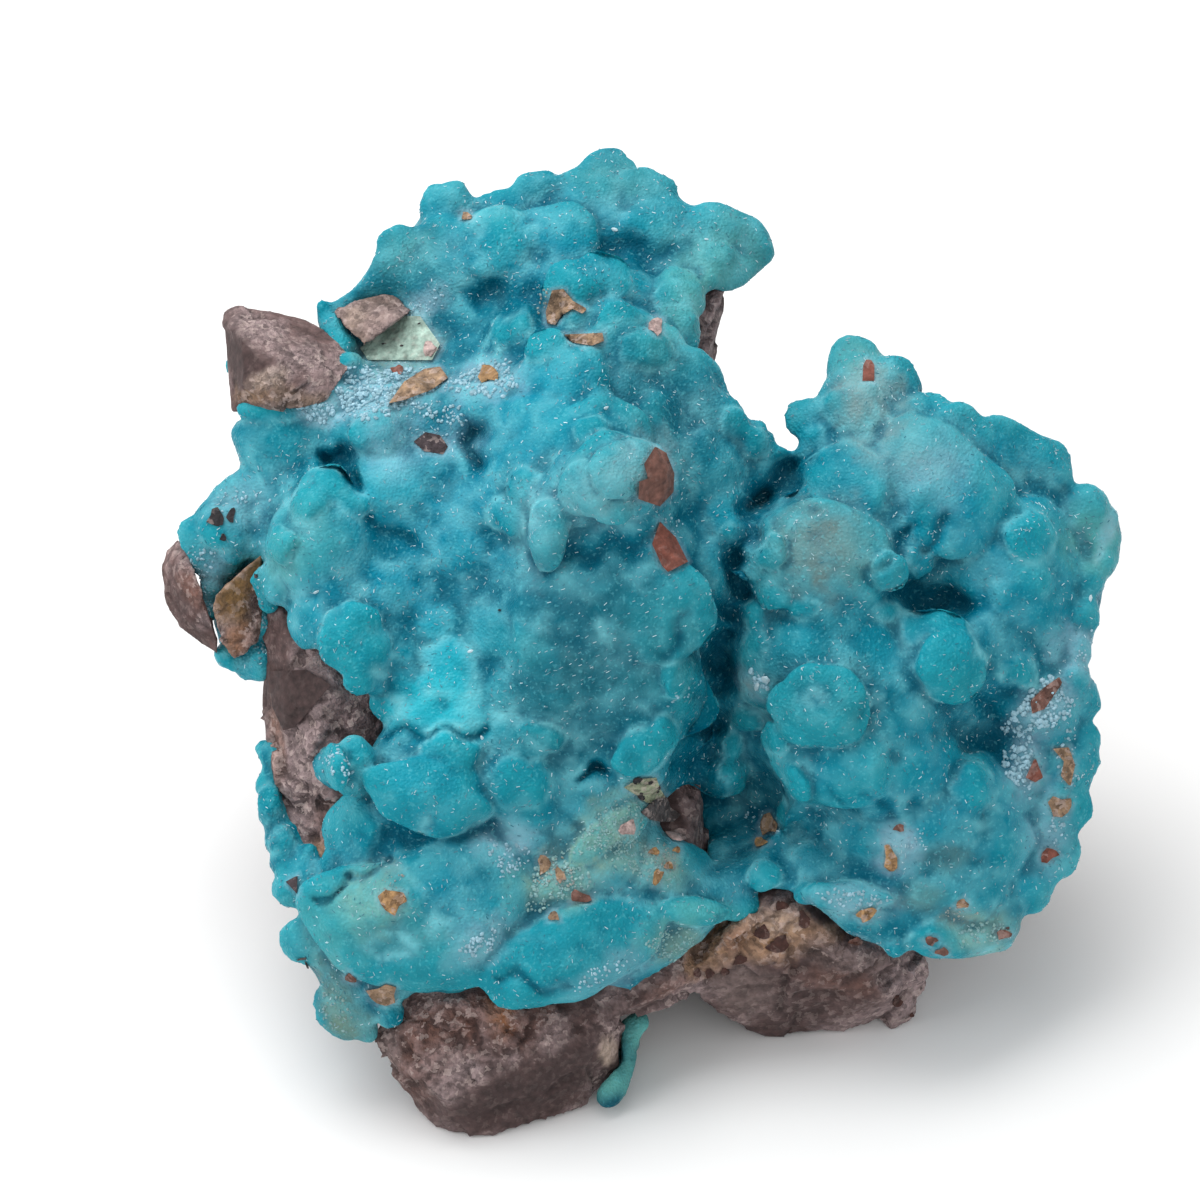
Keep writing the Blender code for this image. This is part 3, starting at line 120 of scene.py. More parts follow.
# Smithsonite crust.
# Zinc carbonate that grew on the rock as soft domes of five to fifteen millimetres with smaller
# lumps along their edges, run together into one waxy, slightly see-through body.

# Broad surface of the crust: u, v, w in millimetres, as in the solid.
RELIEF = np.array([
    (-28, 42, -15), (-22, 48, -16), (-15, 49, -16), (-8, 51, -16), (1, 55, -17), (7, 51, -16),
    (14, 47, -15), (20, 44, -15), (-24, 41, -10), (-16, 42, -9), (-8, 44, -9), (0, 46, -9), (7, 44, -10),
    (13, 41, -9), (-18, 37, -12), (-12, 37, -8), (-5, 39, -4), (2, 39, -5), (6, 39, -7), (10, 37, -8),
    (10, 32, -3), (-16, 33, -11), (-8, 33, -2), (-2, 35, -2), (3, 32, 0), (-12, 29, 0), (-6, 29, 3),
    (0, 29, 4), (6, 29, 3), (12, 27, -1), (16, 22, -2), (20, 19, -4), (23, 15, -7), (-12, 24, 3),
    (-6, 24, 5), (0, 23, 7), (6, 23, 4), (11, 22, 3), (15, 18, 1), (-14, 18, 4), (-8, 18, 8), (-2, 18, 12),
    (4, 17, 16), (10, 17, 7), (14, 14, 3), (-13, 11, 6), (-7, 10, 12), (-1, 12, 13), (4, 11, 14),
    (8, 8, 14), (9, 4, 12), (13, 9, 5), (17, 9, 3), (18, 4, 1), (20, 13, -8), (12, 12, 1), (-6, 4, 9),
    (0, 5, 10), (5, 2, 12), (-10, 0, 8), (-3, -1, 10), (4, -3, 11), (11, -1, 9), (15, 2, 4), (17, -2, 0),
    (-9, -7, 8), (-2, -8, 10), (5, -9, 9), (11, -8, 7), (-10, -14, 7), (-3, -15, 7), (3, -14, 7),
    (-6, -20, 6), (0, -20, 4), (5, -19, 7), (8, -22, 6), (10, -15, 4), (-19, 12, 2), (-24, 15, 2),
    (-28, 20, 0), (-30, 11, 4), (-24, 6, 2), (-17, 4, 2), (-12, 6, 4), (-26, -2, 3), (-20, -3, 1),
    (-15, -4, 3), (-19, -9, 2), (-15, -11, 4), (-22, -13, 4), (-18, -16, 6), (-13, -16, 6), (-25, -9, 3),
    (-34, 14, 4), (-37, 8, 4), (-40, 3, 1), (-35, 3, 4), (-33, -2, 6), (-30, -7, 7), (-37, -4, 2),
    (-34, 19, -6), (-40, 20, -4), (-45, 20, -7), (-42, 14, -6), (-48, 9, -9), (-45, 7, -7), (-47, 3.5, -9),
    (-43, -3, -11), (-45, -8, -11), (-50, 1, -13), (-47, -2, -13), (-32, 25, -4), (-26, 24, -2),
    (-20, 24, -1), (-15, 26, -1), (-28, 28, -6), (-20, 31, -7), (-14, 30, -3), (-24, 34, -9),
    (-20, 36, -12), (-33, 36, -13), (-35, 34, -12), (-28, 38, -9), (-17, 20, 0), (-22, 20, -1),
    (-20, -19, 6), (-17, -22, 6), (-23, -24, 8), (-27, -29, 4), (-13, -21, 6), (-10, -24, 6), (-10, -29, 3),
    (-3, -24, 4), (-5, -30, 4), (-20, -31, 5), (-18, -37, 7), (-25, -42, 7), (-31, -38, 5), (-34, -34, 2),
    (-38, -38, -2), (-36, -44, 0), (-33, -50, -1), (-29, -48, 3), (-24, -49, 1), (-19, -48, 0),
    (-30, -54, -3), (-15, -42, 5), (-10, -41, 3), (-5, -45, 5), (0, -42, 4), (4, -47, 1), (7, -43, 1),
    (-7, -35, 4), (0, -33, 4), (6, -31, 2), (3, -37, 3), (10, -34, 1), (12, -38, 3), (10, -42, 0),
    (8, -47, -2), (-38, -29, -5), (-41, -25, -7), (-40, -31, -6), (11, -28, -12), (15, -28, -18),
    (19, -24, -16), (13, -20, -8), (19, -18, -8), (16, -13, -12), (15, -7, -10), (20, -1, -4),
    (14, -33, -6), (18, -35, -1), (24, -31, -9), (29, -30, -6), (23, -26, -8), (18, -31, -8), (31, 32, -10),
    (29, 28, -7), (27, 24, -6), (34, 28, -5), (39, 27, -10), (33, 23, -1), (38, 22, -4), (26, 19, -4),
    (30, 17, 1), (35, 17, 0), (23, 12, 2), (19, 6, 4), (23, 6, 7), (28, 9, 6), (28, 4, 8), (21, 1, 5),
    (33, 6, 4), (36, 4, 6), (40, 5, 2), (41, 17, 2), (45, 12, 3), (41, 9, 1), (47, 20, -4), (53, 19, -6),
    (57, 16, -9), (50, 13, -2), (56, 10, -4), (61, 10, -9), (65, 8, -12), (49, 5, 1), (55, 4, -1),
    (61, 2, -8), (42, 1, -9), (36, -1, 0), (30, -1, 5), (25, -3, 6), (20, -5, 6), (18, -8, 5), (19, -11, 5),
    (26, -7, 7), (32, -6, 6), (38, -6, 5), (43, -6, 6), (48, -6, 3), (54, -3, 0), (60, -5, -6),
    (28, -13, 10), (34, -13, 7), (39, -13, 3), (44, -11, 6), (49, -11, 0), (24, -18, 6), (30, -20, 8),
    (36, -19, 5), (41, -20, 3), (47, -17, -8), (28, -24, 4), (34, -25, 5), (40, -26, 2), (47, -24, 0),
    (53, -14, 0), (58, -11, -3), (61, -17, -8), (57, -20, -4), (53, -22, -2), (57, -26, -6), (51, -28, -1),
    (45, -31, 2), (38, -31, 2), (31, -34, 0), (35, -36, 2), (28, -37, 3), (23, -37, 2), (33, -40, 2),
    (40, -38, 1), (46, -38, 0), (52, -38, -4), (43, -43, -2), (50, -43, -5), (36, -43, 0), (56, -33, -7),
], dtype=float)

# Small lumps that shape the outline: u, v, radius, and how far the lump stands off the broad
# surface.
LUMPS = [
    (17.3, 45.4, 3.3, 0), (18.8, 44.2, 3, 0), (18.3, 41.6, 1.6, 0), (14.4, 42.2, 2.6, 1),
    (10.4, 37.6, 3.1, 1), (9.9, 34.6, 2.6, 0.5), (13.6, 40, 1.4, 0.5), (-28.6, -10.2, 1.9, 0),
    (-33.9, -20.8, 2.7, 2), (-32, -19.8, 1.9, 1), (-47.2, 5.2, 2.6, -0.5), (-48.8, 0.2, 1.4, -0.5),
    (-46.4, -6.9, 1.9, 0), (-44, -8.2, 2, 0), (-43.2, -5.2, 2.2, 0), (-42.6, -2.4, 2, 0),
    (-42.4, -8.6, 1.8, 0), (-34.6, 36.6, 1.3, 0), (-34.2, 35, 1.4, 0), (-45.9, 29.2, 1.3, -3),
    (-30.6, -31.6, 2.2, 0), (-33, -33, 2.4, 0), (-36.4, -32, 1.8, 0), (-37, -35.4, 2, 0),
    (-38.7, -36.3, 1.3, 0), (-26, -51.8, 1.8, 0), (-29, -54, 1.4, 0), (-38.4, -29.6, 1.8, 0),
    (-40.4, -27.4, 1.7, 0), (-41, -24.6, 1.6, 0), (-39.2, -32, 1.7, 0), (-42, -18.6, 1.2, -1),
    (31.8, 30.6, 2.4, 0), (30, 28.8, 1.9, 0), (33.6, 29, 2.6, 0), (29.6, 25.6, 2.2, 0),
    (27.8, 23.2, 1.9, 0), (27.2, 20, 2.2, 0), (25.6, 17.6, 1.9, 0), (25.8, -36.8, 1.6, 0),
    (37, -43.4, 1.5, -0.5),
]

# Soft domes that merge with their neighbours: u, v, half length, half width, turn in degrees, and
# how far the crown stands over the body under it.
SOFT_DOMES = [
    (-19.2, 48.8, 3.4, 3, 80, 1), (-20.2, 44.5, 3.6, 3, 80, 0.8), (-25.3, 43.6, 3.2, 2.6, 60, 0.8),
    (-12.2, 48.6, 3, 2.6, 0, 0.7), (-7.6, 51.2, 3, 2.4, 0, 0.8), (1, 53.6, 3.2, 3, 0, 1),
    (5.6, 50.4, 3.4, 3.2, 0, 0.9), (-1.1, 50.2, 4.2, 3.6, 0, 0.9), (-5.4, 45.2, 4.4, 4, 0, 0.9),
    (-13.7, 44.2, 5, 4.6, 0, 1), (7.9, 45.6, 5, 4.4, 0, 0.7), (14.3, 45.8, 4, 3.6, 0, 1),
    (18.8, 44.2, 3, 2.8, 0, 0.9), (15.4, 41.9, 3.4, 3, 0, 0.9), (9.6, 37.9, 3.4, 2.8, 90, 0.9),
    (9.3, 33.4, 3.6, 2.8, 80, 0.7), (4.6, 38, 3, 2.6, 0, 0.6), (2.2, 34.2, 3.6, 3.2, 0, 0.8),
    (-18.5, 40.5, 4, 3.4, 0, 0.5), (-15.5, 36, 4, 3, 0, 0.3), (4.6, 30, 5.6, 4.8, 0, 1.2),
    (10.7, 26.6, 4.6, 4.2, -30, 1), (4.8, 24.4, 6, 5, 0, 0.8), (-4.7, 26.4, 5.2, 4.4, 0, 1),
    (15, 22.8, 3.4, 3, -40, 0.9), (19.6, 20, 2.4, 2.2, 0, 0.7), (0.3, 20.6, 4.8, 4.2, 0, 0.9),
    (-9, 20.6, 5.2, 4.4, 0, 0.9), (-16.6, 16.8, 4.6, 3.8, 0, 0.4), (-24, 22.6, 5.2, 4, 0, 0.6),
    (-29.2, 20.6, 3.8, 3.4, 0, 0.9), (-14, 24, 4.6, 3, 20, 0.5), (-40.4, 19.6, 4.2, 3.8, 0, 1),
    (-35.4, 20.8, 3.8, 3.4, 0, 0.9), (-26.2, 14.6, 4.4, 4, 0, 0.9), (-35.2, 6.6, 5.2, 4.6, 80, 1.1),
    (-39.4, 7.8, 3.4, 3.2, 0, 1), (-41, 1.8, 2.4, 2.2, 0, 0.8), (-36.7, -2.8, 3, 2.8, 0, 0.7),
    (-46.5, 9, 3.8, 3.4, 0, 1), (-50, 8, 2.6, 2.4, 0, 0.8), (-45, 13, 3.4, 2.6, 20, 0.7),
    (-17.4, 6.9, 6, 4.6, 30, 0.9), (-25, 0.5, 5, 4.4, 0, 0.5), (-11.3, -4.9, 5.6, 4.2, -20, 0.8),
    (0.1, 1, 11.5, 6.2, -14, 0.9), (1.6, -8.4, 10.5, 6.4, -22, 0.9), (-8.4, -10.4, 5, 4, -20, 0.7),
    (-20.5, -3.2, 4.4, 3.8, 0, 0.4), (-9.4, -16.6, 4, 2.8, -10, 0.8), (8.9, 19.4, 5.2, 5, 0, 0.8),
    (14.2, 16.4, 4.4, 4, -30, 0.9), (17, 10, 3.6, 3.2, -30, 1), (15, 4.6, 3.4, 3.8, 0, 0.6),
    (-6.4, 19.8, 5.2, 4.4, 0, 1), (-10.6, 16.6, 3.8, 3.4, 0, 0.9), (2.2, 15.8, 5.2, 4.4, 10, 1.3),
    (-2, 14, 4.2, 3.8, 0, 1.2), (31.6, 29.6, 3.2, 3, 80, 1), (34.2, 26, 4.6, 4, -40, 0.9),
    (37.4, 27.6, 3, 2.6, -40, 0.8), (40.6, 21.4, 4, 3.6, -40, 0.8), (40.8, 16.4, 5.6, 5, -60, 1.3),
    (45.2, 12, 5.6, 5.2, 0, 1.2), (50.6, 18.4, 4.8, 3.6, -20, 1), (45.8, 20.2, 4, 3.4, -30, 0.9),
    (55.8, 16.8, 3.4, 3, -30, 0.9), (54.2, 7.4, 4.8, 4.4, 0, 1), (49.4, 3.2, 5.4, 4.6, 0, 0.9),
    (30, 14.2, 4.8, 4.2, 0, 1.1), (27.6, 5.2, 7.4, 5.6, -8, 1.7), (24.2, 10.4, 3.6, 3, 20, 0.9),
    (30.9, -1.9, 4.6, 4, 0, 1), (25, -5.8, 4.6, 4.2, 0, 1), (33.4, -8.8, 4.8, 4.4, 0, 0.9),
    (37, -14.6, 5, 4.4, 0, 1), (29, -20.4, 6.2, 4.6, -10, 1.3), (36, -21.2, 4.8, 4, 0, 1),
    (41, -20.6, 4.6, 4, 0, 0.8), (47.2, -23.4, 4.2, 3.8, 0, 0.8), (54.8, 0.4, 5.2, 4.6, 0, 0.9),
    (57.8, -3.6, 4.4, 3.8, -60, 0.9), (44, -27.6, 5, 4, 0, 0.8), (37, -28.6, 4.6, 3.8, 0, 0.9),
    (50.4, -30.6, 4.2, 4.4, 0, 0.8), (31, -29.6, 4.8, 3.8, 0, 0.9), (25.2, -22.8, 3.6, 3.2, 0, 0.7),
    (26.8, -33, 4.2, 3, 0, 0.6), (21.4, 16.2, 2.8, 2.8, 0, 0.7), (25.9, 22.4, 2.6, 2.4, 0, 0.6),
    (53.4, -35.6, 3.4, 3, 0, 0.8), (45, -36, 5, 3.6, 0, 0.7), (58.6, 3, 3.6, 3.4, 0, 0.8),
    (60, -12.5, 2.4, 2.6, 80, 0.6), (60.2, -17.4, 2.4, 2.4, 0, 0.6), (-9.6, -23, 4.8, 4.2, 0, 1.1),
    (-2.6, -23.8, 3.8, 3.4, 0, 0.8), (-31, -29.6, 4.4, 3.8, 30, 0.8), (-17.6, -35.6, 7.4, 5.4, -10, 1.4),
    (-29, -37.4, 4.4, 4.2, 0, 1), (-36.8, -42.6, 3, 2.8, 0, 0.8), (-38.4, -36.2, 1.8, 1.6, 0, 0.6),
    (9.6, -34, 4.6, 3.8, -20, 1), (-20.8, -46.2, 4.6, 2.6, -10, 0.7), (-31.6, -50.6, 3.4, 3.4, 60, 0.7),
    (-10, -29.4, 4.4, 3.2, 0, 0.6), (0.6, -33.4, 4.4, 3.2, 30, 0.6), (15.5, -37, 4, 2.4, -20, 0.6),
    (58.4, -20.4, 3.6, 3.6, 0, 0.4), (57.6, -26, 3.2, 3.4, 0, 0.4), (56.4, -31.6, 3, 3.2, 0, 0.4),
    (-38.4, -35.4, 2.4, 2.6, 0, 0.4), (57, -14, 3.2, 3.4, 0, 0.4),
]

# Domes and plates with a crisp edge over their neighbours, given in the same way.
CRISP_DOMES = [
    (-3.6, 39.4, 3.6, 3.2, 0, 1.4), (0.6, 39.8, 3.8, 3.4, -20, 1.1), (-10.8, 33.8, 3.6, 3.2, 20, 1.2),
    (-6.6, 31.4, 3.2, 2.8, 0, 1.5), (-2.9, 35.6, 1.6, 1.5, 0, 1.5), (-13, 44.6, 4.2, 3.8, 0, 0.9),
    (2.4, 34.8, 2.8, 2.6, 0, 1.1), (9.2, 37.6, 2.8, 2.4, 80, 1.2), (-0.3, 21, 2.6, 2.4, 0, 1.4),
    (5.8, 31.2, 3.4, 3, 0, 1.4), (19.4, 19.8, 2.2, 2, -40, 1.1), (16.6, 22.2, 2.4, 2.2, -40, 1.1),
    (-34.2, 14, 3.6, 3, 0, 1.8), (-31.8, 12.2, 2.8, 2.6, 0, 1.5), (-36.6, 11.4, 3, 2.6, 60, 1.5),
    (-31, -5, 4.4, 4, 70, 1.8), (-29.4, -8.6, 3.2, 2.8, 60, 1.4), (-40, 7.2, 2.8, 2.6, 0, 1.4),
    (-28.6, 21, 3, 2.8, 0, 1.4), (-47.2, 9, 3, 2.8, 0, 1.2), (-6.5, 8.4, 4.4, 2.8, 82, 2.8),
    (-10.6, 10.4, 2.6, 2.2, 80, 1.9), (-12.6, 10.8, 2.2, 2, 60, 1.1), (-1.8, 14, 3.6, 3.4, 0, 2.5),
    (3.4, 16.4, 4.8, 3.8, 14, 2.8), (1.8, 11.6, 2.6, 2.2, 0, 1.8), (-9.6, 14.4, 2.6, 2.4, 0, 1.8),
    (-18.6, -10.6, 7.6, 5.6, -4, 1), (-19, -18.6, 3.6, 3.2, 0, 1.5), (10.2, -9.2, 3.4, 3, 20, 1.2),
    (5.6, -18.4, 4.6, 3.2, 40, 2.4), (8.6, -16.4, 2.8, 2.6, 0, 2), (-7.4, -16.8, 3, 2, -20, 1.1),
    (31.8, 24, 3.4, 3.2, 0, 1.2), (21.2, 6.2, 1.9, 1.9, 0, 2), (18.6, 5, 2.4, 2.2, 0, 2.4),
    (21.6, 0.8, 2.4, 2, -40, 1.5), (25, -0.6, 2.6, 2.2, 0, 1.5), (36.4, 3.6, 2.4, 2.3, 0, 2),
    (39.9, 4.6, 2.2, 2.2, 0, 1.1), (35.8, -0.8, 2.3, 2.2, 0, 0.9), (41.6, -4, 4.2, 3, -10, 1.5),
    (44, -8.4, 4.4, 4, 0, 1.5), (19, -6.4, 3.6, 3.4, 60, 1.5), (20, -11, 3, 2.6, 0, 1.1),
    (27.6, -13.4, 5.2, 4.4, 0, 1.3), (54, 7.6, 3.8, 3.4, 0, 1.2), (52, -8.6, 3.4, 2.6, -30, 1.1),
    (16, -22.4, 2.9, 2.8, 0, 1.8), (16.1, -18, 1.9, 2.1, 0, 1.9), (23.5, -27.2, 2.3, 2.3, 0, 1.4),
    (20.6, -34.4, 2.4, 2.2, 0, 1.1), (46.8, -23.4, 3.2, 3, 0, 1.1), (-21.4, -24.4, 7, 4.2, -12, 2),
    (-33, -20.8, 3, 2.7, 0, 4), (-24.8, -40.8, 9.6, 6, -14, 1.3), (-31.2, -43.2, 3.6, 3.2, 0, 1),
    (-17.6, -42.6, 3.8, 3.4, 0, 1), (-15, -42.8, 3.2, 1.7, 30, 1.8), (-3.6, -43.9, 9.2, 4.8, 24, 1.5),
    (11.8, -38.9, 5, 1.8, -4, 1.9), (-28.6, -37.6, 3.4, 3.6, 30, 1.5), (-9.8, -22.8, 4, 3.6, 0, 1.4),
    (-4.6, -35.6, 5, 2.6, 24, 1.1), (1.6, -28.6, 6, 2.2, 32, 1.4), (44.8, -42.4, 6.4, 2.2, 2, 1.2),
    (31, -37, 5.4, 1.8, -4, 1.4), (-41, 23.4, 5, 1.8, -4, 1.6), (-36, 24.2, 2.6, 1.4, 10, 2.2),
    (-46.6, -7.4, 2.2, 1.2, -35, 1), (-41.4, -25.4, 1.6, 2.6, 0, 1.5), (-39.6, -30.6, 1.8, 2.6, 15, 1.5),
    (17.8, -2, 2.6, 2.2, 0, 2.2), (18, -14.4, 2.8, 2.2, 0, 2), (21.8, -17.6, 3, 2.6, 0, 1.8),
    (24.6, -23, 2.8, 2.6, 0, 1.8), (17.6, 8.6, 2.4, 2, 0, 1.6),
]

# Deep folds and cavities: from u, v to u, v, half width and depth.
FOLDS = [
    (25, 16.5, 19.5, 12, 1.6, 3.0), (19.5, 12, 17.4, 5, 1.5, 2.6), (17.4, 5, 16.6, -2, 1.4, 2.4),
    (16.6, -2, 14.6, -8, 1.5, 3.2), (14.6, -8, 13.2, -16, 1.8, 3.2), (13.2, -16, 11.4, -27, 2.4, 2.4),
    (-33.6, 18.2, -30.8, 15.4, 1.2, 3.5), (-16.2, 21.6, -15.4, 17.6, 1.3, 3.0), (38, 0.8, 44.5, -0.6, 1.8, 2.6),
    (49, -12.5, 50, -19, 2.2, 1.6), (-1.6, -21.4, -0.4, -21.6, 0.7, 2.5), (-14, 38, -7, 36.6, 2.0, 1.6),
    (1.8, 44, 6, 42.6, 2.2, 1.6), (-26, -16.8, -14, -16.6, 0.7, 0.8), (-35, -38, -31.5, -35.4, 0.5, 0.9),
    (-31.5, -35.4, -27, -33.2, 0.5, 0.9), (-12, -46.8, -4, -49, 0.8, 0.8), (-7, 4.8, 6, 7.6, 1.2, 0.8),
    (30, -24.6, 36, -25.4, 1.1, 0.8), (-28.6, 9.6, -24.4, 7.0, 1.2, 0.8), (22.4, 10.6, 25.8, 12.0, 1.0, 0.8),
    (33.5, 2.0, 38.5, 8.4, 1.0, 0.9), (40.8, 7.0, 43.4, 9.4, 0.9, 0.9), (13.0, 0.8, 8.6, -6.0, 1.2, 0.7),
    (-28.4, -30.2, -13.6, -28.2, 1.4, 0.9), (0.6, 26.0, 3.0, 17.8, 1.2, 0.7),
]

# Round knobs that close the crust up to the blocks and edge the wall on the left: u, v, radius, and
# how far the knob stands off the broad surface.
KNOBS = [
    (-32.4, 31.6, 2.3, 0.4), (-31.4, 29.2, 2.1, 0.4), (-33.2, 33.8, 2.0, 0.4), (-34.6, 28.4, 2.0, 0.2),
    (-49.8, 4.8, 1.9, 0.2), (-48.6, 1.6, 1.7, 0.2), (-49.2, -1.4, 1.6, 0.2), (-46.0, 6.0, 2.0, 0.4),
    (-42.0, 2.2, 1.9, 0.4), (-42.4, -3.0, 1.9, 0.2), (-42.4, -6.8, 1.8, 0.0), (-33.0, -20.8, 3.1, 2.2),
    (-41.2, -19.5, 1.6, 0.0), (-41.4, -23.0, 1.9, 0.0), (-40.9, -26.6, 2.0, 0.0), (-40.2, -30.0, 2.0, 0.0),
    (-39.4, -33.0, 2.0, 0.0), (-38.6, -36.0, 2.2, 0.0), (-30.6, -19.8, 2.7, 1.8), (-30.8, -22.4, 2.2, 1.4),
    (-33.6, 26.2, 2.0, 0.2), (-41.4, -0.2, 1.7, 0.0),
    (60.4, 11.0, 3.6, 0.6), (62.0, 8.4, 3.6, 0.6), (61.8, 5.2, 3.2, 0.6), (60.2, 2.6, 3.0, 0.4),
    (60.0, -1.8, 2.7, 0.4),
    (59.2, -5.8, 2.6, 0.4), (59.0, -9.8, 2.4, 0.4),
]

# How far each point of RELIEF acts, and the share that every point keeps in empty places.
RELIEF_REACH = 3.4
RELIEF_FLOOR = 1e-7
# Areas where the crust is nearly smooth: u, v, half length and half width.
SMOOTH_AREAS = [
    (0, 0, 12, 7), (2, -9, 11, 7), (-18, 5, 10, 9), (-19, -11, 7, 4), (8, 45, 7, 6), (50, 8, 8, 10),
    (-18, -34, 8, 7),
]

# The body under the domes: the solid, rounded off, drawn in and with its creases filled.
BODY_VOXEL = 0.8
BODY_ROUNDS = 16
BODY_SHRINK = 0.5
BODY_FILLS = (40, 20)
# Domes: half thickness as a share of half width, and crown height as a base and a factor.
SOFT_SHARE = 0.55
SOFT_CROWN = (0.2, 0.62)
CRISP_SHARE = 0.5
CRISP_CROWN = (0.3, 0.6)
MOST_SPREAD = 1.3
UNEVEN = 0.22
# How deep lumps and knobs sit, as a share of their radius.
LUMP_SINK = 0.62
KNOB_SINK = 0.5
# Finish: folds that wander, buds, low swells (height, size, seed), and the final mesh.
FOLD_WANDER = 0.7
BUD_SIZE = 4.2
BUD_PATCHES = 12.0
BUD_HEIGHT = 0.5
REAR_BUD_HEIGHT = 0.9
SWELLS = ((0.22, 5.0, 1.0), (0.06, 1.5, 2.0))
CRUST_VOXEL = 0.5
CRUST_TRIANGLES = 188000
SIDE_SOFTNESS = 1.6
# Heights over the layout plane between which a sight line is followed.
FROM_ABOVE, TO_BELOW = 45, -60


def place(u, v, w):
    """Position in metres of a point of the slanted layout plane, as part of the solid's layout."""
    spread = (SIGHT - w) / SIGHT
    x = u * spread
    y = v * spread * math.sin(LEAN) - w * math.cos(LEAN)
    z = v * spread * math.cos(LEAN) + w * math.sin(LEAN) + RISE
    return Vector((x - MIDDLE[0], y - MIDDLE[1], z)) * MM


def relief(u, v):
    """Height of the broad surface at u, v."""
    away = (RELIEF[:, 0] - u) ** 2 + (RELIEF[:, 1] - v) ** 2
    weight = np.exp(-away / (2 * RELIEF_REACH ** 2)) + RELIEF_FLOOR / (1 + away)
    return float((weight * RELIEF[:, 2]).sum() / weight.sum())


def slope(u, v):
    """Turn that lays a disc on the broad surface at u, v."""
    across = place(u + 2, v, relief(u + 2, v)) - place(u - 2, v, relief(u - 2, v))
    up = place(u, v + 2, relief(u, v + 2)) - place(u, v - 2, relief(u, v - 2))
    normal = across.cross(up).normalized()
    normal = (normal + sight_line).normalized()
    side = across.normalized()
    return Matrix((side, normal.cross(side).normalized(), normal)).transposed().to_4x4()


def layout(points):
    """Layout coordinates u, v, w in millimetres of an array of points in metres."""
    x = points[:, 0] / MM + MIDDLE[0]
    y = points[:, 1] / MM + MIDDLE[1]
    z = points[:, 2] / MM - RISE
    w = -y * math.cos(LEAN) + z * math.sin(LEAN)
    spread = (SIGHT - w) / SIGHT
    v = (y * math.sin(LEAN) + z * math.cos(LEAN)) / spread
    return np.column_stack((x / spread, v, w))


def select_only(obj):
    if bpy.context.object and bpy.context.object.mode != "OBJECT":
        bpy.ops.object.mode_set(mode="OBJECT")
    bpy.ops.object.select_all(action="DESELECT")
    obj.select_set(True)
    bpy.context.view_layer.objects.active = obj


def merged_copy(node, name):
    """A copy of a CAD node as one closed mesh, its loose triangles merged."""
    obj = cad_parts[node].copy()
    obj.data = obj.data.copy()
    obj.name = name
    obj.parent = None
    for key in list(obj.keys()):
        del obj[key]
    obj.data.materials.clear()
    bpy.context.scene.collection.objects.link(obj)
    select_only(obj)
    bpy.ops.object.mode_set(mode="EDIT")
    bpy.ops.mesh.select_all(action="SELECT")
    bpy.ops.mesh.remove_doubles(threshold=0.00001)
    bpy.ops.mesh.normals_make_consistent(inside=False)
    bpy.ops.object.mode_set(mode="OBJECT")
    return obj


def apply_modifier(obj, kind, **settings):
    select_only(obj)
    modifier = obj.modifiers.new(kind.lower(), kind)
    for key, value in settings.items():
        setattr(modifier, key, value)
    bpy.ops.object.modifier_apply(modifier=modifier.name)


def vertex_array(obj):
    points = np.empty(len(obj.data.vertices) * 3, dtype=np.float32)
    obj.data.vertices.foreach_get("co", points)
    return points.reshape(-1, 3).astype(float)


def normal_array(obj):
    normals = np.empty(len(obj.data.vertices) * 3, dtype=np.float32)
    obj.data.vertex_normals.foreach_get("vector", normals)
    return normals.reshape(-1, 3).astype(float)


def set_vertices(obj, points):
    obj.data.vertices.foreach_set("co", points.astype(np.float32).ravel())
    obj.data.update()


def smoothed(obj, values, rounds):
    """Values at the vertices after a number of rounds of smoothing along the edges."""
    edges = np.empty(len(obj.data.edges) * 2, dtype=np.int32)
    obj.data.edges.foreach_get("vertices", edges)
    ends = edges.reshape(-1, 2)
    start = np.concatenate((ends[:, 0], ends[:, 1]))
    end = np.concatenate((ends[:, 1], ends[:, 0]))
    count = np.maximum(np.bincount(start, minlength=len(values)), 1)[:, None]
    for _ in range(rounds):
        near = np.column_stack([np.bincount(start, v[end], len(values)) for v in values.T])
        values = (values + near / count) / 2
    return values


def bulge(obj, rounds):
    """How far each vertex stands out from the smoothed surface, in millimetres."""
    points = vertex_array(obj)
    return ((points - smoothed(obj, points, rounds)) * normal_array(obj)).sum(1) / MM


def raise_by(obj, height):
    """Moves each vertex along its normal by a height in millimetres."""
    set_vertices(obj, vertex_array(obj) + normal_array(obj) * (height * MM)[:, None])


def keep_in_box(obj, softness=0.0):
    """Holds a piece inside the box of the solids, rounding off what comes near its sides and top."""
    low, high = (np.array(corner) for corner in cad_box)
    points = vertex_array(obj)
    if softness:
        soft = softness * MM
        points = high - np.where(high - points < soft, soft * np.exp((high - points) / soft - 1), high - points)
        eased = low + np.where(points - low < soft, soft * np.exp((points - low) / soft - 1), points - low)
        points[:, :2] = eased[:, :2]
    set_vertices(obj, np.clip(points, low, high))


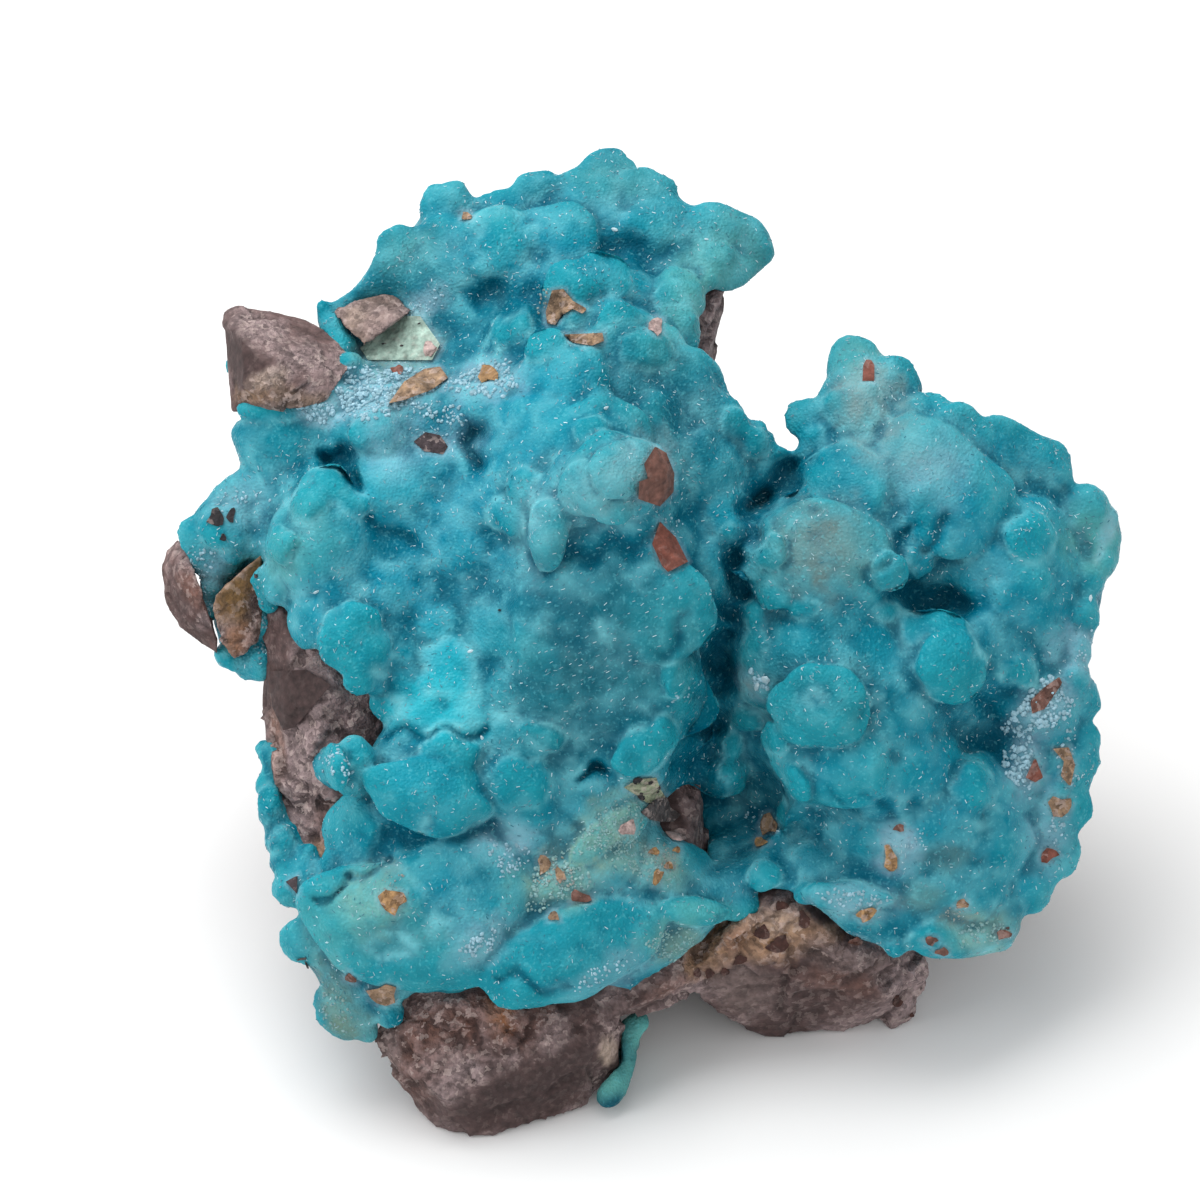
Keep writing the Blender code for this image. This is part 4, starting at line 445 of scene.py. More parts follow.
def add_copies(obj, placings, detail):
    """Joins copies of one ball to a mesh, each with its own placing."""
    bpy.ops.object.select_all(action="DESELECT")
    bpy.ops.mesh.primitive_ico_sphere_add(subdivisions=detail, radius=1.0, location=(0, 0, 0))
    ball = bpy.context.object
    shape = np.column_stack((vertex_array(ball), np.ones(len(ball.data.vertices))))
    faces = np.array([tuple(p.vertices) for p in ball.data.polygons])
    points = []
    for number, placing in enumerate(placings):
        seed = Vector((number * 3.7, 1.3, 2.9))
        uneven = np.array([1 + UNEVEN * noise.noise(Vector(p[:3]) * 1.4 + seed) for p in shape])
        points.append(np.column_stack((shape[:, :3] * uneven[:, None], shape[:, 3])) @ np.array(placing).T[:, :3])
    points = np.concatenate(points)
    corners = (np.arange(len(placings))[:, None, None] * len(shape) + faces[None]).reshape(-1, 3)
    balls = bpy.data.meshes.new("balls")
    balls.from_pydata(points.tolist(), [], corners.tolist())
    ball.data = balls
    select_only(obj)
    ball.select_set(True)
    bpy.ops.object.join()


def ball_at(centre, radius):
    return Matrix.Translation(centre) @ Matrix.Diagonal((radius, radius, radius, 1))


def drop_on(trees, u, v):
    """Height over the layout plane where the sight line through u, v first meets a surface."""
    start = place(u, v, FROM_ABOVE)
    way = (place(u, v, TO_BELOW) - start).normalized()
    spots = [hit[0] for hit in (tree.ray_cast(start, way) for tree in trees) if hit[0]]
    if not spots:
        return None
    nearest = min(spots, key=lambda spot: (spot - start).length)
    return float(layout(np.array([nearest[:]]))[0, 2])


def dome_at(tree, share, crowns, u, v, long, wide, turn, crown):
    """Placing of a flat ball that stands out of a surface and covers its own length and width."""
    reach = min(long, wide) / 2
    steps = ((0, 0), (reach, 0), (-reach, 0), (0, reach), (0, -reach))
    around = [drop_on([tree], u + du, v + dv) for du, dv in steps]
    known = [height for height in around if height is not None]
    ground = float(np.median(known)) if known else relief(u, v)
    thick = share * (long + wide) / 2
    crown = min(crowns[0] + crowns[1] * crown, 1.5 * thick)
    spread = min(1 / math.sqrt(1 - (1 - crown / thick) ** 2), MOST_SPREAD)
    turned = slope(u, v) @ Matrix.Rotation(math.radians(turn), 4, "Z")
    sizes = Matrix.Diagonal((long * spread * MM, wide * spread * MM, thick * MM, 1))
    return Matrix.Translation(place(u, v, ground + crown - thick)) @ turned @ sizes


def fold_share(uvw, fold):
    """How far inside a fold each point lies, from 0 to 1."""
    u0, v0, u1, v1, width, depth = fold
    uvw = uvw + FOLD_WANDER * np.sin(uvw[:, [1, 0, 2]] * 1.1 + uvw[:, [0, 2, 1]] * 0.37 + 2 * u0)
    du, dv = u1 - u0, v1 - v0
    along = ((uvw[:, 0] - u0) * du + (uvw[:, 1] - v0) * dv) / (du * du + dv * dv)
    along = np.clip(along, 0, 1)
    away = np.hypot(uvw[:, 0] - u0 - along * du, uvw[:, 1] - v0 - along * dv)
    return np.exp(-(away / width) ** 2)


def fractal(points, size, octaves=3, seed=0.0):
    """Noise from about -1 to 1 at each point, for lumps of a size in millimetres."""
    shift = Vector((seed * 7.3, seed * 3.1, seed * 5.7))
    scale = 1 / (size * MM)
    return np.array([noise.fractal(Vector(p) * scale + shift, 0.6, 2.1, octaves) for p in points])


crust = merged_copy("smithsonite_crust", "smithsonite_crust_surface")
apply_modifier(crust, "REMESH", mode="VOXEL", voxel_size=BODY_VOXEL * MM)
set_vertices(crust, smoothed(crust, vertex_array(crust), BODY_ROUNDS))
raise_by(crust, np.full(len(crust.data.vertices), -BODY_SHRINK))
for rounds in BODY_FILLS:
    raise_by(crust, np.maximum(-bulge(crust, rounds), 0))
body_tree = BVHTree.FromObject(crust, bpy.context.evaluated_depsgraph_get())

placings = [dome_at(body_tree, SOFT_SHARE, SOFT_CROWN, *dome) for dome in SOFT_DOMES]
for balls, sink in ((LUMPS, LUMP_SINK), (KNOBS, KNOB_SINK)):
    for u, v, radius, lift in balls:
        placings.append(ball_at(place(u, v, relief(u, v) + lift - sink * radius), radius * MM))
add_copies(crust, placings, 3)
apply_modifier(crust, "REMESH", mode="VOXEL", voxel_size=CRUST_VOXEL * MM)
set_vertices(crust, smoothed(crust, vertex_array(crust), 1))

soft_tree = BVHTree.FromObject(crust, bpy.context.evaluated_depsgraph_get())
add_copies(crust, [dome_at(soft_tree, CRISP_SHARE, CRISP_CROWN, *dome) for dome in CRISP_DOMES], 4)
apply_modifier(crust, "REMESH", mode="VOXEL", voxel_size=CRUST_VOXEL * MM)
set_vertices(crust, smoothed(crust, vertex_array(crust), 1))

# Uneven growth: folds between the larger masses, round buds of four millimetres wherever the crust
# isn't smooth, and low swells.
points = vertex_array(crust)
uvw = layout(points)
facing = np.clip(normal_array(crust) @ np.array(sight_line) * 3, 0, 1)
inward = sum(fold[5] * fold_share(uvw, fold) for fold in FOLDS) * facing
set_vertices(crust, points - np.array(sight_line) * (inward * MM)[:, None])
points = vertex_array(crust)
smooth_area = sum(np.exp(-((uvw[:, 0] - u) / long) ** 2 - ((uvw[:, 1] - v) / wide) ** 2)
                  for u, v, long, wide in SMOOTH_AREAS)
cells = np.array([noise.voronoi(Vector(p) / (BUD_SIZE * MM))[0][0] for p in points])
buds = np.clip(0.5 + 1.6 * fractal(points, BUD_PATCHES, 2, 12.0), 0, 1) * np.clip(1 - smooth_area, 0, 1)
rear = np.clip(0.4 - normal_array(crust) @ np.array(sight_line) * 2, 0, 1)
raise_by(crust, (BUD_HEIGHT + REAR_BUD_HEIGHT * rear) * buds * (0.25 - np.minimum(cells, 0.8) ** 2))
raise_by(crust, sum(height * fractal(points, size, 2, seed) for height, size, seed in SWELLS))
thinning = CRUST_TRIANGLES / (2 * len(crust.data.polygons))
if thinning < 1:
    apply_modifier(crust, "DECIMATE", ratio=thinning)
keep_in_box(crust, SIDE_SOFTNESS)
select_only(crust)
bpy.ops.object.shade_smooth()


def linear(red, green, blue):
    """Linear colour of a paint-chart colour from 0 to 255."""
    shares = np.array((red, green, blue)) / 255
    return np.where(shares <= 0.04045, shares / 12.92, ((shares + 0.055) / 1.055) ** 2.4)


def mix(base, colour, share):
    share = np.clip(share, 0, 1)[:, None]
    return base * (1 - share) + colour * share


def spot_share(uvw, normals, u, v, long, wide, turn, wobble):
    """Soft share from 0 to 1 of an oval colour area, a tone or painted shade, on the display side, with an uneven
    edge.
    """
    angle = math.radians(turn)
    du = uvw[:, 0] - u
    dv = uvw[:, 1] - v
    along = du * math.cos(angle) + dv * math.sin(angle)
    across = dv * math.cos(angle) - du * math.sin(angle)
    far = np.sqrt((along / long) ** 2 + (across / wide) ** 2) + wobble * 0.35
    return np.clip(1.6 - 1.2 * far, 0, 1) * np.clip(normals @ np.array(sight_line) * 4 + 0.3, 0, 1)


def facing_share(normals):
    """1 on the display side and 0 on the far side."""
    return np.clip(normals @ np.array(sight_line) * 4 + 0.6, 0, 1)


def paint(obj, name, colours):
    """Stores a colour for each vertex under a name that the material reads."""
    attribute = obj.data.color_attributes.new(name, "FLOAT_COLOR", "POINT")
    rgba = np.column_stack((np.clip(colours, 0, 1), np.ones(len(colours))))
    attribute.data.foreach_set("color", rgba.astype(np.float32).ravel())


# Deep teal: painted shade in the hollows, creases and folds, and dark random patches.
DEEP_SHADE_AND_TONE = linear(0, 84, 108)
TEAL = linear(0, 110, 130)
AQUA = linear(8, 139, 158)
CYAN = linear(0, 138, 166)
BRIGHT = linear(30, 196, 214)
# Pale rim colour: painted sheen round the domes, and pale random patches.
SHEEN_RIM_AND_MILK = linear(128, 208, 218)
# Crown colour: painted highlight on the crowns of the domes.
CROWN_HIGHLIGHT = linear(52, 172, 182)
MINT = linear(96, 168, 164)
GREY_TEAL = linear(22, 88, 104)
PALE = linear(158, 196, 202)
PALE_GREY = linear(164, 176, 172)
UMBER_GREY = linear(112, 132, 128)
FROST = linear(176, 208, 224)
PALE_GREEN = linear(150, 185, 165)
TAN = linear(172, 140, 100)
OCHRE = linear(176, 120, 62)
OLIVE = linear(130, 140, 110)

# Sizes in millimetres of the broad clouds, the uneven edges and the milky patches, and the height
# and width of the pale rim of painted sheen round each dome.
CLOUD_SIZE = 9.0
WOBBLE_SIZE = 2.4
MILKY_SIZE = 3.2
SHEEN_RIM_HEIGHTS = (0.32, 0.26)

# Colour areas of the crust: colour, strength, u, v, half length, half width, turn in degrees.
CRUST_AREAS = [
    # the bright bowl and its surroundings
    (CYAN, 0.9, -20, 5, 12, 9, 40), (CYAN, 0.9, -19, -9, 8, 6, 0), (CYAN, 0.6, -26, 14, 8, 7, 0),
    (BRIGHT, 0.9, -19, -13.8, 7.5, 3.6, -4), (BRIGHT, 0.4, -18, -8, 7, 6, 0), (BRIGHT, 0.3, -26, 15, 5, 4, 0),
    (CYAN, 0.55, -12, 22, 10, 7, 10), (CYAN, 0.6, -21, -25, 6, 5, 0), (CYAN, 0.45, -5, 27, 10, 5, 0),
    (CYAN, 0.5, 45, 4, 14, 9, -20), (CYAN, 0.6, 48, 14, 10, 6, -10), (CYAN, 0.4, 42, -22, 12, 8, 0),
    (CYAN, 0.5, 13, 22, 5, 7, 30), (CYAN, 0.35, -6, -45, 8, 4, 25), (CYAN, 0.45, 16, 8, 5, 5, 0),
    # upper lobe, greener to the right
    (MINT, 0.5, 15, 42, 8, 7, 0), (MINT, 0.55, 11, 37, 4, 8, -30), (MINT, 0.35, -24, 43, 5, 4, 30),
    (MINT, 0.3, 2, 53, 6, 4, 0), (CYAN, 0.35, -4, 44, 9, 5, 0), (CYAN, 0.3, -15, 42, 6, 5, 0),
    # grey and greenish casts
    (GREY_TEAL, 0.75, 2, -5, 16, 9, -20), (GREY_TEAL, 0.6, 8, 26, 9, 7, -20),
    (GREY_TEAL, 0.4, 11.5, 20.5, 5, 5, 0), (GREY_TEAL, 0.6, -5, -14, 11, 6, -20),
    (UMBER_GREY, 0.85, 28, 6.5, 8, 6, -10), (UMBER_GREY, 0.6, 35, 23, 5, 6, 20),
    (GREY_TEAL, 0.5, 32, 28, 5, 5, 0),
    (MINT, 0.5, 32, 31, 4, 3, 0), (MINT, 0.8, 62, 8, 4, 5, 0), (FROST, 0.6, 63.6, 9, 0.9, 3.6, -20),
    (GREY_TEAL, 0.5, 28, -12, 8, 6, 0),
    (PALE, 0.4, 40, 17.5, 6.5, 5.5, 0), (PALE_GREY, 0.55, 33.5, 26.5, 4.6, 3.6, 20),
    (GREY_TEAL, 0.4, 20, -9, 5, 6, 0),
    # the shaded recess between the two lobes, and painted shade in hollows of the lobes
    (CYAN, 0.7, 14, -22, 4, 7, 10), (CYAN, 0.7, 14.5, -10, 2.5, 6, -5), (CYAN, 0.5, 20, 13, 4, 3, 40),
    (DEEP_SHADE_AND_TONE, 0.3, 11, 23, 4, 5, 20), (DEEP_SHADE_AND_TONE, 0.25, 49.5, -16, 3.5, 5, 0), (DEEP_SHADE_AND_TONE, 0.3, -8, 37.4, 9, 3, 0),
    # pale lumps and knobs
    (PALE, 0.35, -8, 9, 3.4, 6, 10), (PALE, 0.55, 0.5, 14, 6.5, 4.5, 25),
    (PALE, 0.5, 5, 17.5, 4, 3.4, 30), (AQUA, 0.45, -35, 14, 5, 4, 0),
    (MINT, 0.35, -36.5, 9, 4, 5, 20), (MINT, 0.6, -39.5, 4.5, 3, 4, 0), (AQUA, 0.6, -48, 8, 5, 5, 0),
    (AQUA, 0.5, -42, 19, 6, 4, 10), (AQUA, 0.5, -30, -6, 5, 5, 0), (CYAN, 0.5, -23, -23, 6, 5, 0),
    (GREY_TEAL, 0.4, -1, -44.5, 7, 3, 20),
    (AQUA, 0.6, -33.5, -20.5, 3.5, 3, 0), (AQUA, 0.6, 7, -18.5, 4, 4, 0), (AQUA, 0.5, 14.5, -22.5, 3.5, 3.5, 0),
    (AQUA, 0.6, 23.8, -27, 2.5, 2.5, 0), (AQUA, 0.6, 16, -18, 2.2, 2.2, 0),
    # lower left
    (MINT, 0.35, -27, -41, 9, 4, -14), (CYAN, 0.4, -21, -36, 6, 4, 0),
    (PALE_GREEN, 0.75, -28.5, -37, 4.5, 4, 20), (MINT, 0.4, -35, -42, 5, 6, 0),
    (OLIVE, 0.6, -33, -50, 2.5, 6, 15), (OLIVE, 0.4, -30, -54, 4, 2.5, -20),
    (GREY_TEAL, 0.5, -24, -49, 7, 3, 0),
    (PALE_GREEN, 0.85, 1, -28.5, 7, 3.2, 28), (PALE_GREEN, 0.7, -5, -35, 6, 4, 20),
    (PALE_GREEN, 0.6, 6, -33, 6, 3, -20),
    (PALE_GREEN, 0.8, 9.5, -43, 4, 3, -20), (MINT, 0.9, 11.8, -39, 5, 1.8, -4),
    (TAN, 0.5, 7.5, -32, 2.2, 1.2, -30),
    (FROST, 0.6, -12, -30, 4, 3, 0), (FROST, 0.55, -15, -43, 5, 2.6, 30), (FROST, 0.4, 1, -47, 6, 2, 30),
    (OCHRE, 0.35, -26, -33.5, 1.6, 1.2, 0),
    # frosted zones
    (FROST, 0.62, -28, 26, 7, 3.6, 8), (FROST, 0.5, -14.5, 27.5, 5, 2.6, 5), (FROST, 0.7, -35, 23.6, 3, 2, 0),
    (FROST, 0.35, -26, 19, 4, 4, 20), (FROST, 0.5, -50, 1, 2.5, 6, -25), (FROST, 0.3, -45, 12, 4, 3, 0),
    (FROST, 0.6, 55, -14, 4.6, 2.8, 35), (FROST, 0.6, 53, -21, 2.4, 4, 5), (FROST, 0.5, 60, -7, 3, 4, 60),
    (FROST, 0.4, 56, -29, 3, 5, 0), (PALE_GREEN, 0.7, 48, -42, 5, 3, 0), (FROST, 0.5, 32, -37.5, 5, 2.2, -5),
    (OLIVE, 0.35, 43, -32.5, 3, 2, 0), (OLIVE, 0.35, 40, -37, 3, 2, 0), (TAN, 0.3, 45, -39.5, 2, 1.5, 0),
    (FROST, 0.6, 37, -31, 3, 3, 0), (FROST, 0.6, 19, -10.5, 2.4, 1.6, -40), (TAN, 0.3, 18.6, -10.6, 1, 0.8, 0),
    (PALE_GREEN, 0.85, -25.5, 32, 5, 3.6, 10), (FROST, 0.5, -22, 37, 3, 2, 30), (FROST, 0.35, -17, 20, 3, 3, 0),
    (AQUA, 0.5, -33, 37.5, 3, 1.6, 30),
]


def over(tree, points):
    """How far each point stands outside a closed surface, in millimetres."""
    found = [tree.find_nearest(Vector(p)) for p in points]
    return np.array([(Vector(p) - spot).dot(normal) / MM for p, (spot, normal, _, _) in zip(points, found)])


def band(height):
    """Share of the pale rim of painted sheen that runs round a dome a little above its foot."""
    middle, width = SHEEN_RIM_HEIGHTS
    return np.exp(-((height - middle) / width) ** 2)


def paint_crust(obj):
    """Deep blue-green painted shade in the hollows and paler painted highlight on the lumps, with the areas above
    laid over it.
    """
    points = vertex_array(obj)
    normals = normal_array(obj)
    uvw = layout(points)
    fine = bulge(obj, 8)
    broad = bulge(obj, 60)
    cloud = fractal(points, CLOUD_SIZE, 3, 4.0)
    wobble = fractal(points, WOBBLE_SIZE, 3, 5.0)
    colour = np.tile(TEAL, (len(points), 1))
    colour = mix(colour, CYAN, 0.35 + 0.5 * cloud)
    # Paler aqua on the broad lumps: painted highlight, with a little random tone.
    colour = mix(colour, AQUA, 0.12 + 0.55 * np.clip(broad / 1.0, 0, 1) + 0.18 * wobble)
    for area, strength, u, v, long, wide, turn in CRUST_AREAS:
        colour = mix(colour, area, strength * spot_share(uvw, normals, u, v, long, wide, turn, wobble))
    # Painted shade: deep teal in the broad hollows.
    colour = mix(colour, DEEP_SHADE_AND_TONE, 0.65 * np.clip(-broad / 0.9 - 0.1, 0, 1))
    # Painted highlight: aqua on the small ridges.
    colour = mix(colour, AQUA, 0.3 * np.clip(fine / 0.14 - 0.3, 0, 1))
    # Pale rims round the domes: painted sheen.
    sheen_rims = np.clip(0.75 + 0.9 * wobble, 0, 1) * facing_share(normals)
    over_body, over_soft = over(body_tree, points), over(soft_tree, points)
    height = np.maximum(over_body, 2 * over_soft) * facing_share(normals)
    # Painted highlight: paler crowns where the crust stands high over the body.
    colour = mix(colour, CROWN_HIGHLIGHT, 0.35 * np.clip(height / 1.6 - 0.4 + 0.5 * cloud, 0, 1))
    # Painted shade: deep teal low between the domes, close to the body.
    colour = mix(colour, DEEP_SHADE_AND_TONE, 0.4 * facing_share(normals) * np.clip(0.6 - over_body / 0.5, 0, 1))
    colour = mix(colour, SHEEN_RIM_AND_MILK, 0.48 * sheen_rims * band(over_soft) + 0.25 * sheen_rims * band(over_body))
    milky = fractal(points, MILKY_SIZE, 3, 6.0)
    colour = mix(colour, SHEEN_RIM_AND_MILK, 0.17 * facing_share(normals) * np.clip(1.6 * milky - 0.15, 0, 1))
    colour = mix(colour, DEEP_SHADE_AND_TONE, 0.22 * np.clip(-1.6 * milky - 0.15, 0, 1))
    # Painted shade: deep teal in the small creases.
    colour = mix(colour, DEEP_SHADE_AND_TONE, 0.55 * np.clip(-fine / 0.12 - 0.2, 0, 1))
    # Painted shade along the folds.
    for fold in FOLDS:
        colour = mix(colour, DEEP_SHADE_AND_TONE, min(0.3, fold[5] / 8) * fold_share(uvw, fold) * facing_share(normals))
    paint(obj, "crust_colour", colour)


paint_crust(crust)


def new_material(name, roughness):
    """A Principled material with its node tree, shader and a link helper."""
    material = bpy.data.materials.new(name)
    material.use_nodes = True
    nodes = material.node_tree.nodes
    shader = nodes["Principled BSDF"]
    shader.inputs["Roughness"].default_value = roughness
    return material, nodes, material.node_tree.links.new, shader


def add_node(nodes, kind, **values):
    """Adds a node; values name its sockets, with underscores for spaces."""
    node = nodes.new(kind)
    for key, value in values.items():
        if key.startswith("set_"):
            setattr(node, key[4:], value)
        else:
            node.inputs[key.replace("_", " ")].default_value = value
    return node


smithsonite, nodes, link, shader = new_material("smithsonite_waxy", 0.38)
shader.inputs["Subsurface Weight"].default_value = 0.22
shader.inputs["Subsurface Radius"].default_value = (0.35, 1.0, 1.15)
shader.inputs["Subsurface Scale"].default_value = 1.7 * MM
shader.inputs["Specular IOR Level"].default_value = 0.07
where = add_node(nodes, "ShaderNodeTexCoord")
tone = add_node(nodes, "ShaderNodeVertexColor", set_layer_name="crust_colour")
# Pale specks of painted sparkle from the crystal skin, mixed into the colour.
sparkle_noise = add_node(nodes, "ShaderNodeTexNoise", Scale=1900.0, Detail=1.0, Roughness=0.6)
link(where.outputs["Object"], sparkle_noise.inputs["Vector"])
sparkle_ramp = add_node(nodes, "ShaderNodeValToRGB")
sparkle_ramp.color_ramp.elements[0].position = 0.58
sparkle_ramp.color_ramp.elements[1].position = 0.70
link(sparkle_noise.outputs["Fac"], sparkle_ramp.inputs["Fac"])
sparkle_share = add_node(nodes, "ShaderNodeMath", set_operation="MULTIPLY")
sparkle_share.inputs[1].default_value = 0.22
link(sparkle_ramp.outputs["Color"], sparkle_share.inputs[0])
sparkle_mix = add_node(nodes, "ShaderNodeMix", set_data_type="RGBA")
sparkle_mix.inputs[7].default_value = (*linear(110, 205, 216), 1)
link(sparkle_share.outputs[0], sparkle_mix.inputs[0])
link(tone.outputs["Color"], sparkle_mix.inputs[6])
link(sparkle_mix.outputs[2], shader.inputs["Base Color"])

crystals = add_node(nodes, "ShaderNodeTexVoronoi", Scale=2600.0, set_feature="F1")
link(where.outputs["Object"], crystals.inputs["Vector"])
grain = add_node(nodes, "ShaderNodeTexNoise", Scale=2600.0, Detail=1.0, Roughness=0.6)
link(where.outputs["Object"], grain.inputs["Vector"])
skin_height = add_node(nodes, "ShaderNodeMath", set_operation="ADD")
link(crystals.outputs["Distance"], skin_height.inputs[0])
link(grain.outputs["Fac"], skin_height.inputs[1])
bump = add_node(nodes, "ShaderNodeBump", Strength=0.6, Distance=0.2 * MM)
link(skin_height.outputs[0], bump.inputs["Height"])
link(bump.outputs["Normal"], shader.inputs["Normal"])
gloss = add_node(nodes, "ShaderNodeMapRange")
gloss.inputs["From Min"].default_value = 0.35
gloss.inputs["From Max"].default_value = 0.65
gloss.inputs["To Min"].default_value = 0.28
gloss.inputs["To Max"].default_value = 0.55
link(grain.outputs["Fac"], gloss.inputs["Value"])
link(gloss.outputs["Result"], shader.inputs["Roughness"])
crust.data.materials.append(smithsonite)

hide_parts("smithsonite_crust")
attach(crust, "root")


# Crust patch on the left foot.
# A strip of the same crust that grew down the right side of the foot, below the rim.

PATCH_VOXEL = 0.4
PATCH_ROUNDS = 6

patch = merged_copy("crust_patch_foot", "crust_patch_foot_surface")
apply_modifier(patch, "REMESH", mode="VOXEL", voxel_size=PATCH_VOXEL * MM)
set_vertices(patch, smoothed(patch, vertex_array(patch), PATCH_ROUNDS))
raise_by(patch, 0.2 + 0.2 * fractal(vertex_array(patch), 2.4, 2, 3.0))
keep_in_box(patch)
select_only(patch)
bpy.ops.object.shade_smooth()
patch_points = vertex_array(patch)
patch_tone = mix(np.tile(MINT, (len(patch_points), 1)), GREY_TEAL, 0.5 + fractal(patch_points, 5.0, 2, 6.0))
paint(patch, "crust_colour", patch_tone)
patch.data.materials.append(smithsonite)
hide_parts("crust_patch_foot")
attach(patch, "root")


# Host rock.
# Iron-stained rock broken off with the crust: dark smooth joint faces, rough faces with pink-grey
# weathering, and a tan pitted band. It carries the crust and is one lump.

DARK_ROCK = linear(84, 64, 62)
JOINT_FACE = linear(64, 48, 47)
PINK_GREY = linear(158, 138, 138)
RED_BROWN = linear(122, 82, 68)
TAN_ROCK = linear(182, 142, 108)
BEIGE = linear(190, 168, 152)
OCHRE_ROCK = linear(150, 98, 60)
GREY_BROWN = linear(112, 95, 92)
NIGHT_ROCK = linear(52, 40, 40)
STREAKY = linear(98, 80, 80)

ROCK_VOXEL = 0.55
ROCK_TRIANGLES = 150000
# Broken faces on the rock: size in millimetres, and steepness.
FACETS = ((6.5, 0.22), (2.2, 0.12))
MATRIX_BREAKAGE = 0.8

# Rock areas: colour, strength, roughness, u, v, half length, half width, turn in degrees.
ROCK_AREAS = [
    # wall on the left
    (PINK_GREY, 0.8, 1.0, -37, -22, 5, 9, 15), (PINK_GREY, 0.7, 1.0, -34, -15, 5, 4, 0),
    (STREAKY, 0.8, 1.0, -30, -15, 4, 4, 0), (PINK_GREY, 0.6, 1.0, -36, -6.5, 2, 2, 0),
    (OCHRE_ROCK, 0.35, 0.8, -40.6, -17, 0.8, 8, 3), (DARK_ROCK, 0.9, 0.3, -40.2, -5, 1.2, 4.5, -12),
    (JOINT_FACE, 1.0, 0.0, -38.4, -11.6, 3.4, 3.6, 0), (JOINT_FACE, 1.0, 0.0, -35.6, -10.6, 2.4, 1.2, -8),
    (RED_BROWN, 0.5, 1.0, -33.5, -28, 3, 4, 0), (TAN_ROCK, 0.8, 0.5, -34.6, -32, 1.6, 1.9, 20),
    # left foot
    (RED_BROWN, 0.75, 1.0, -16, -53, 10, 3.6, 0), (RED_BROWN, 0.6, 1.0, -22, -57, 3.5, 5, -30),
    (PINK_GREY, 0.5, 1.0, -19.5, -58.4, 3, 3, -30), (OCHRE_ROCK, 0.75, 0.9, -12.6, -51.4, 1.6, 3.2, 10),
    (PINK_GREY, 0.5, 0.9, -6, -54.6, 2, 3, -30), (DARK_ROCK, 0.8, 0.7, -14.6, -55.4, 1.2, 2.4, 0),
    (JOINT_FACE, 0.95, 0.12, -9, -61.6, 12, 2.6, 22), (JOINT_FACE, 0.95, 0.1, -3.6, -58.6, 4, 2.6, 30),
    (BEIGE, 0.9, 0.3, 1.3, -56.4, 1.1, 1.9, 0), (GREY_BROWN, 0.7, 0.8, -26.4, -56, 2.2, 2.6, 0),
    # rim between the feet and the right foot
    (DARK_ROCK, 0.6, 0.5, 4, -50.6, 6, 1.4, 20), (RED_BROWN, 0.5, 0.5, 9, -48.2, 4, 1.2, 25),
    (TAN_ROCK, 0.95, 0.9, 20, -41.8, 8, 3.4, 0), (TAN_ROCK, 0.9, 0.9, 14.4, -44.6, 4, 2.4, 24),
    (OCHRE_ROCK, 0.5, 0.8, 16.6, -42.4, 2, 1.6, 30), (BEIGE, 0.5, 0.8, 22, -40, 3, 1.8, 0),
    (GREY_BROWN, 0.9, 0.2, 18, -48.4, 5, 3.4, -20), (DARK_ROCK, 0.9, 0.3, 29, -49, 7, 4, -8),
    (RED_BROWN, 0.35, 0.4, 30, -47.6, 6, 1.6, -15), (JOINT_FACE, 0.5, 0.3, 24, -51.6, 4, 2, -12),
    (PINK_GREY, 0.75, 1.0, 38.6, -48, 3.2, 4, 0), (GREY_BROWN, 0.7, 0.8, 30, -44.6, 6, 1.6, -10),
    # strip and dark knob under the upper lobe
    (PINK_GREY, 0.85, 0.9, 13.6, 34.6, 2, 6, -20), (NIGHT_ROCK, 0.95, 0.6, 11.8, 33.6, 0.8, 1.5, -15),
    (NIGHT_ROCK, 0.8, 0.4, 17.6, 39.6, 2, 1, 20),
]


def rock_surface(node, voxel, triangles):
    """A copy of a rock node as a fine mesh."""
    rock = merged_copy(node, node + "_surface")
    apply_modifier(rock, "REMESH", mode="VOXEL", voxel_size=voxel * MM)
    thinning = triangles / (2 * len(rock.data.polygons))
    if thinning < 1:
        apply_modifier(rock, "DECIMATE", ratio=thinning)
    return rock


def broken_faces(points, size, steep):
    """Heights in millimetres of small flat faces that tilt at random, as on broken rock."""
    heights = []
    for point in points:
        middle = noise.voronoi(Vector(point) / (size * MM))[1][0]
        tilt = Vector((math.sin(41 * middle.x), math.sin(37 * middle.y + 1), math.sin(43 * middle.z + 2)))
        heights.append((Vector(point) / (size * MM) - middle).dot(tilt) * size * steep)
    return np.clip(heights, -0.25 * size, 0.25 * size)


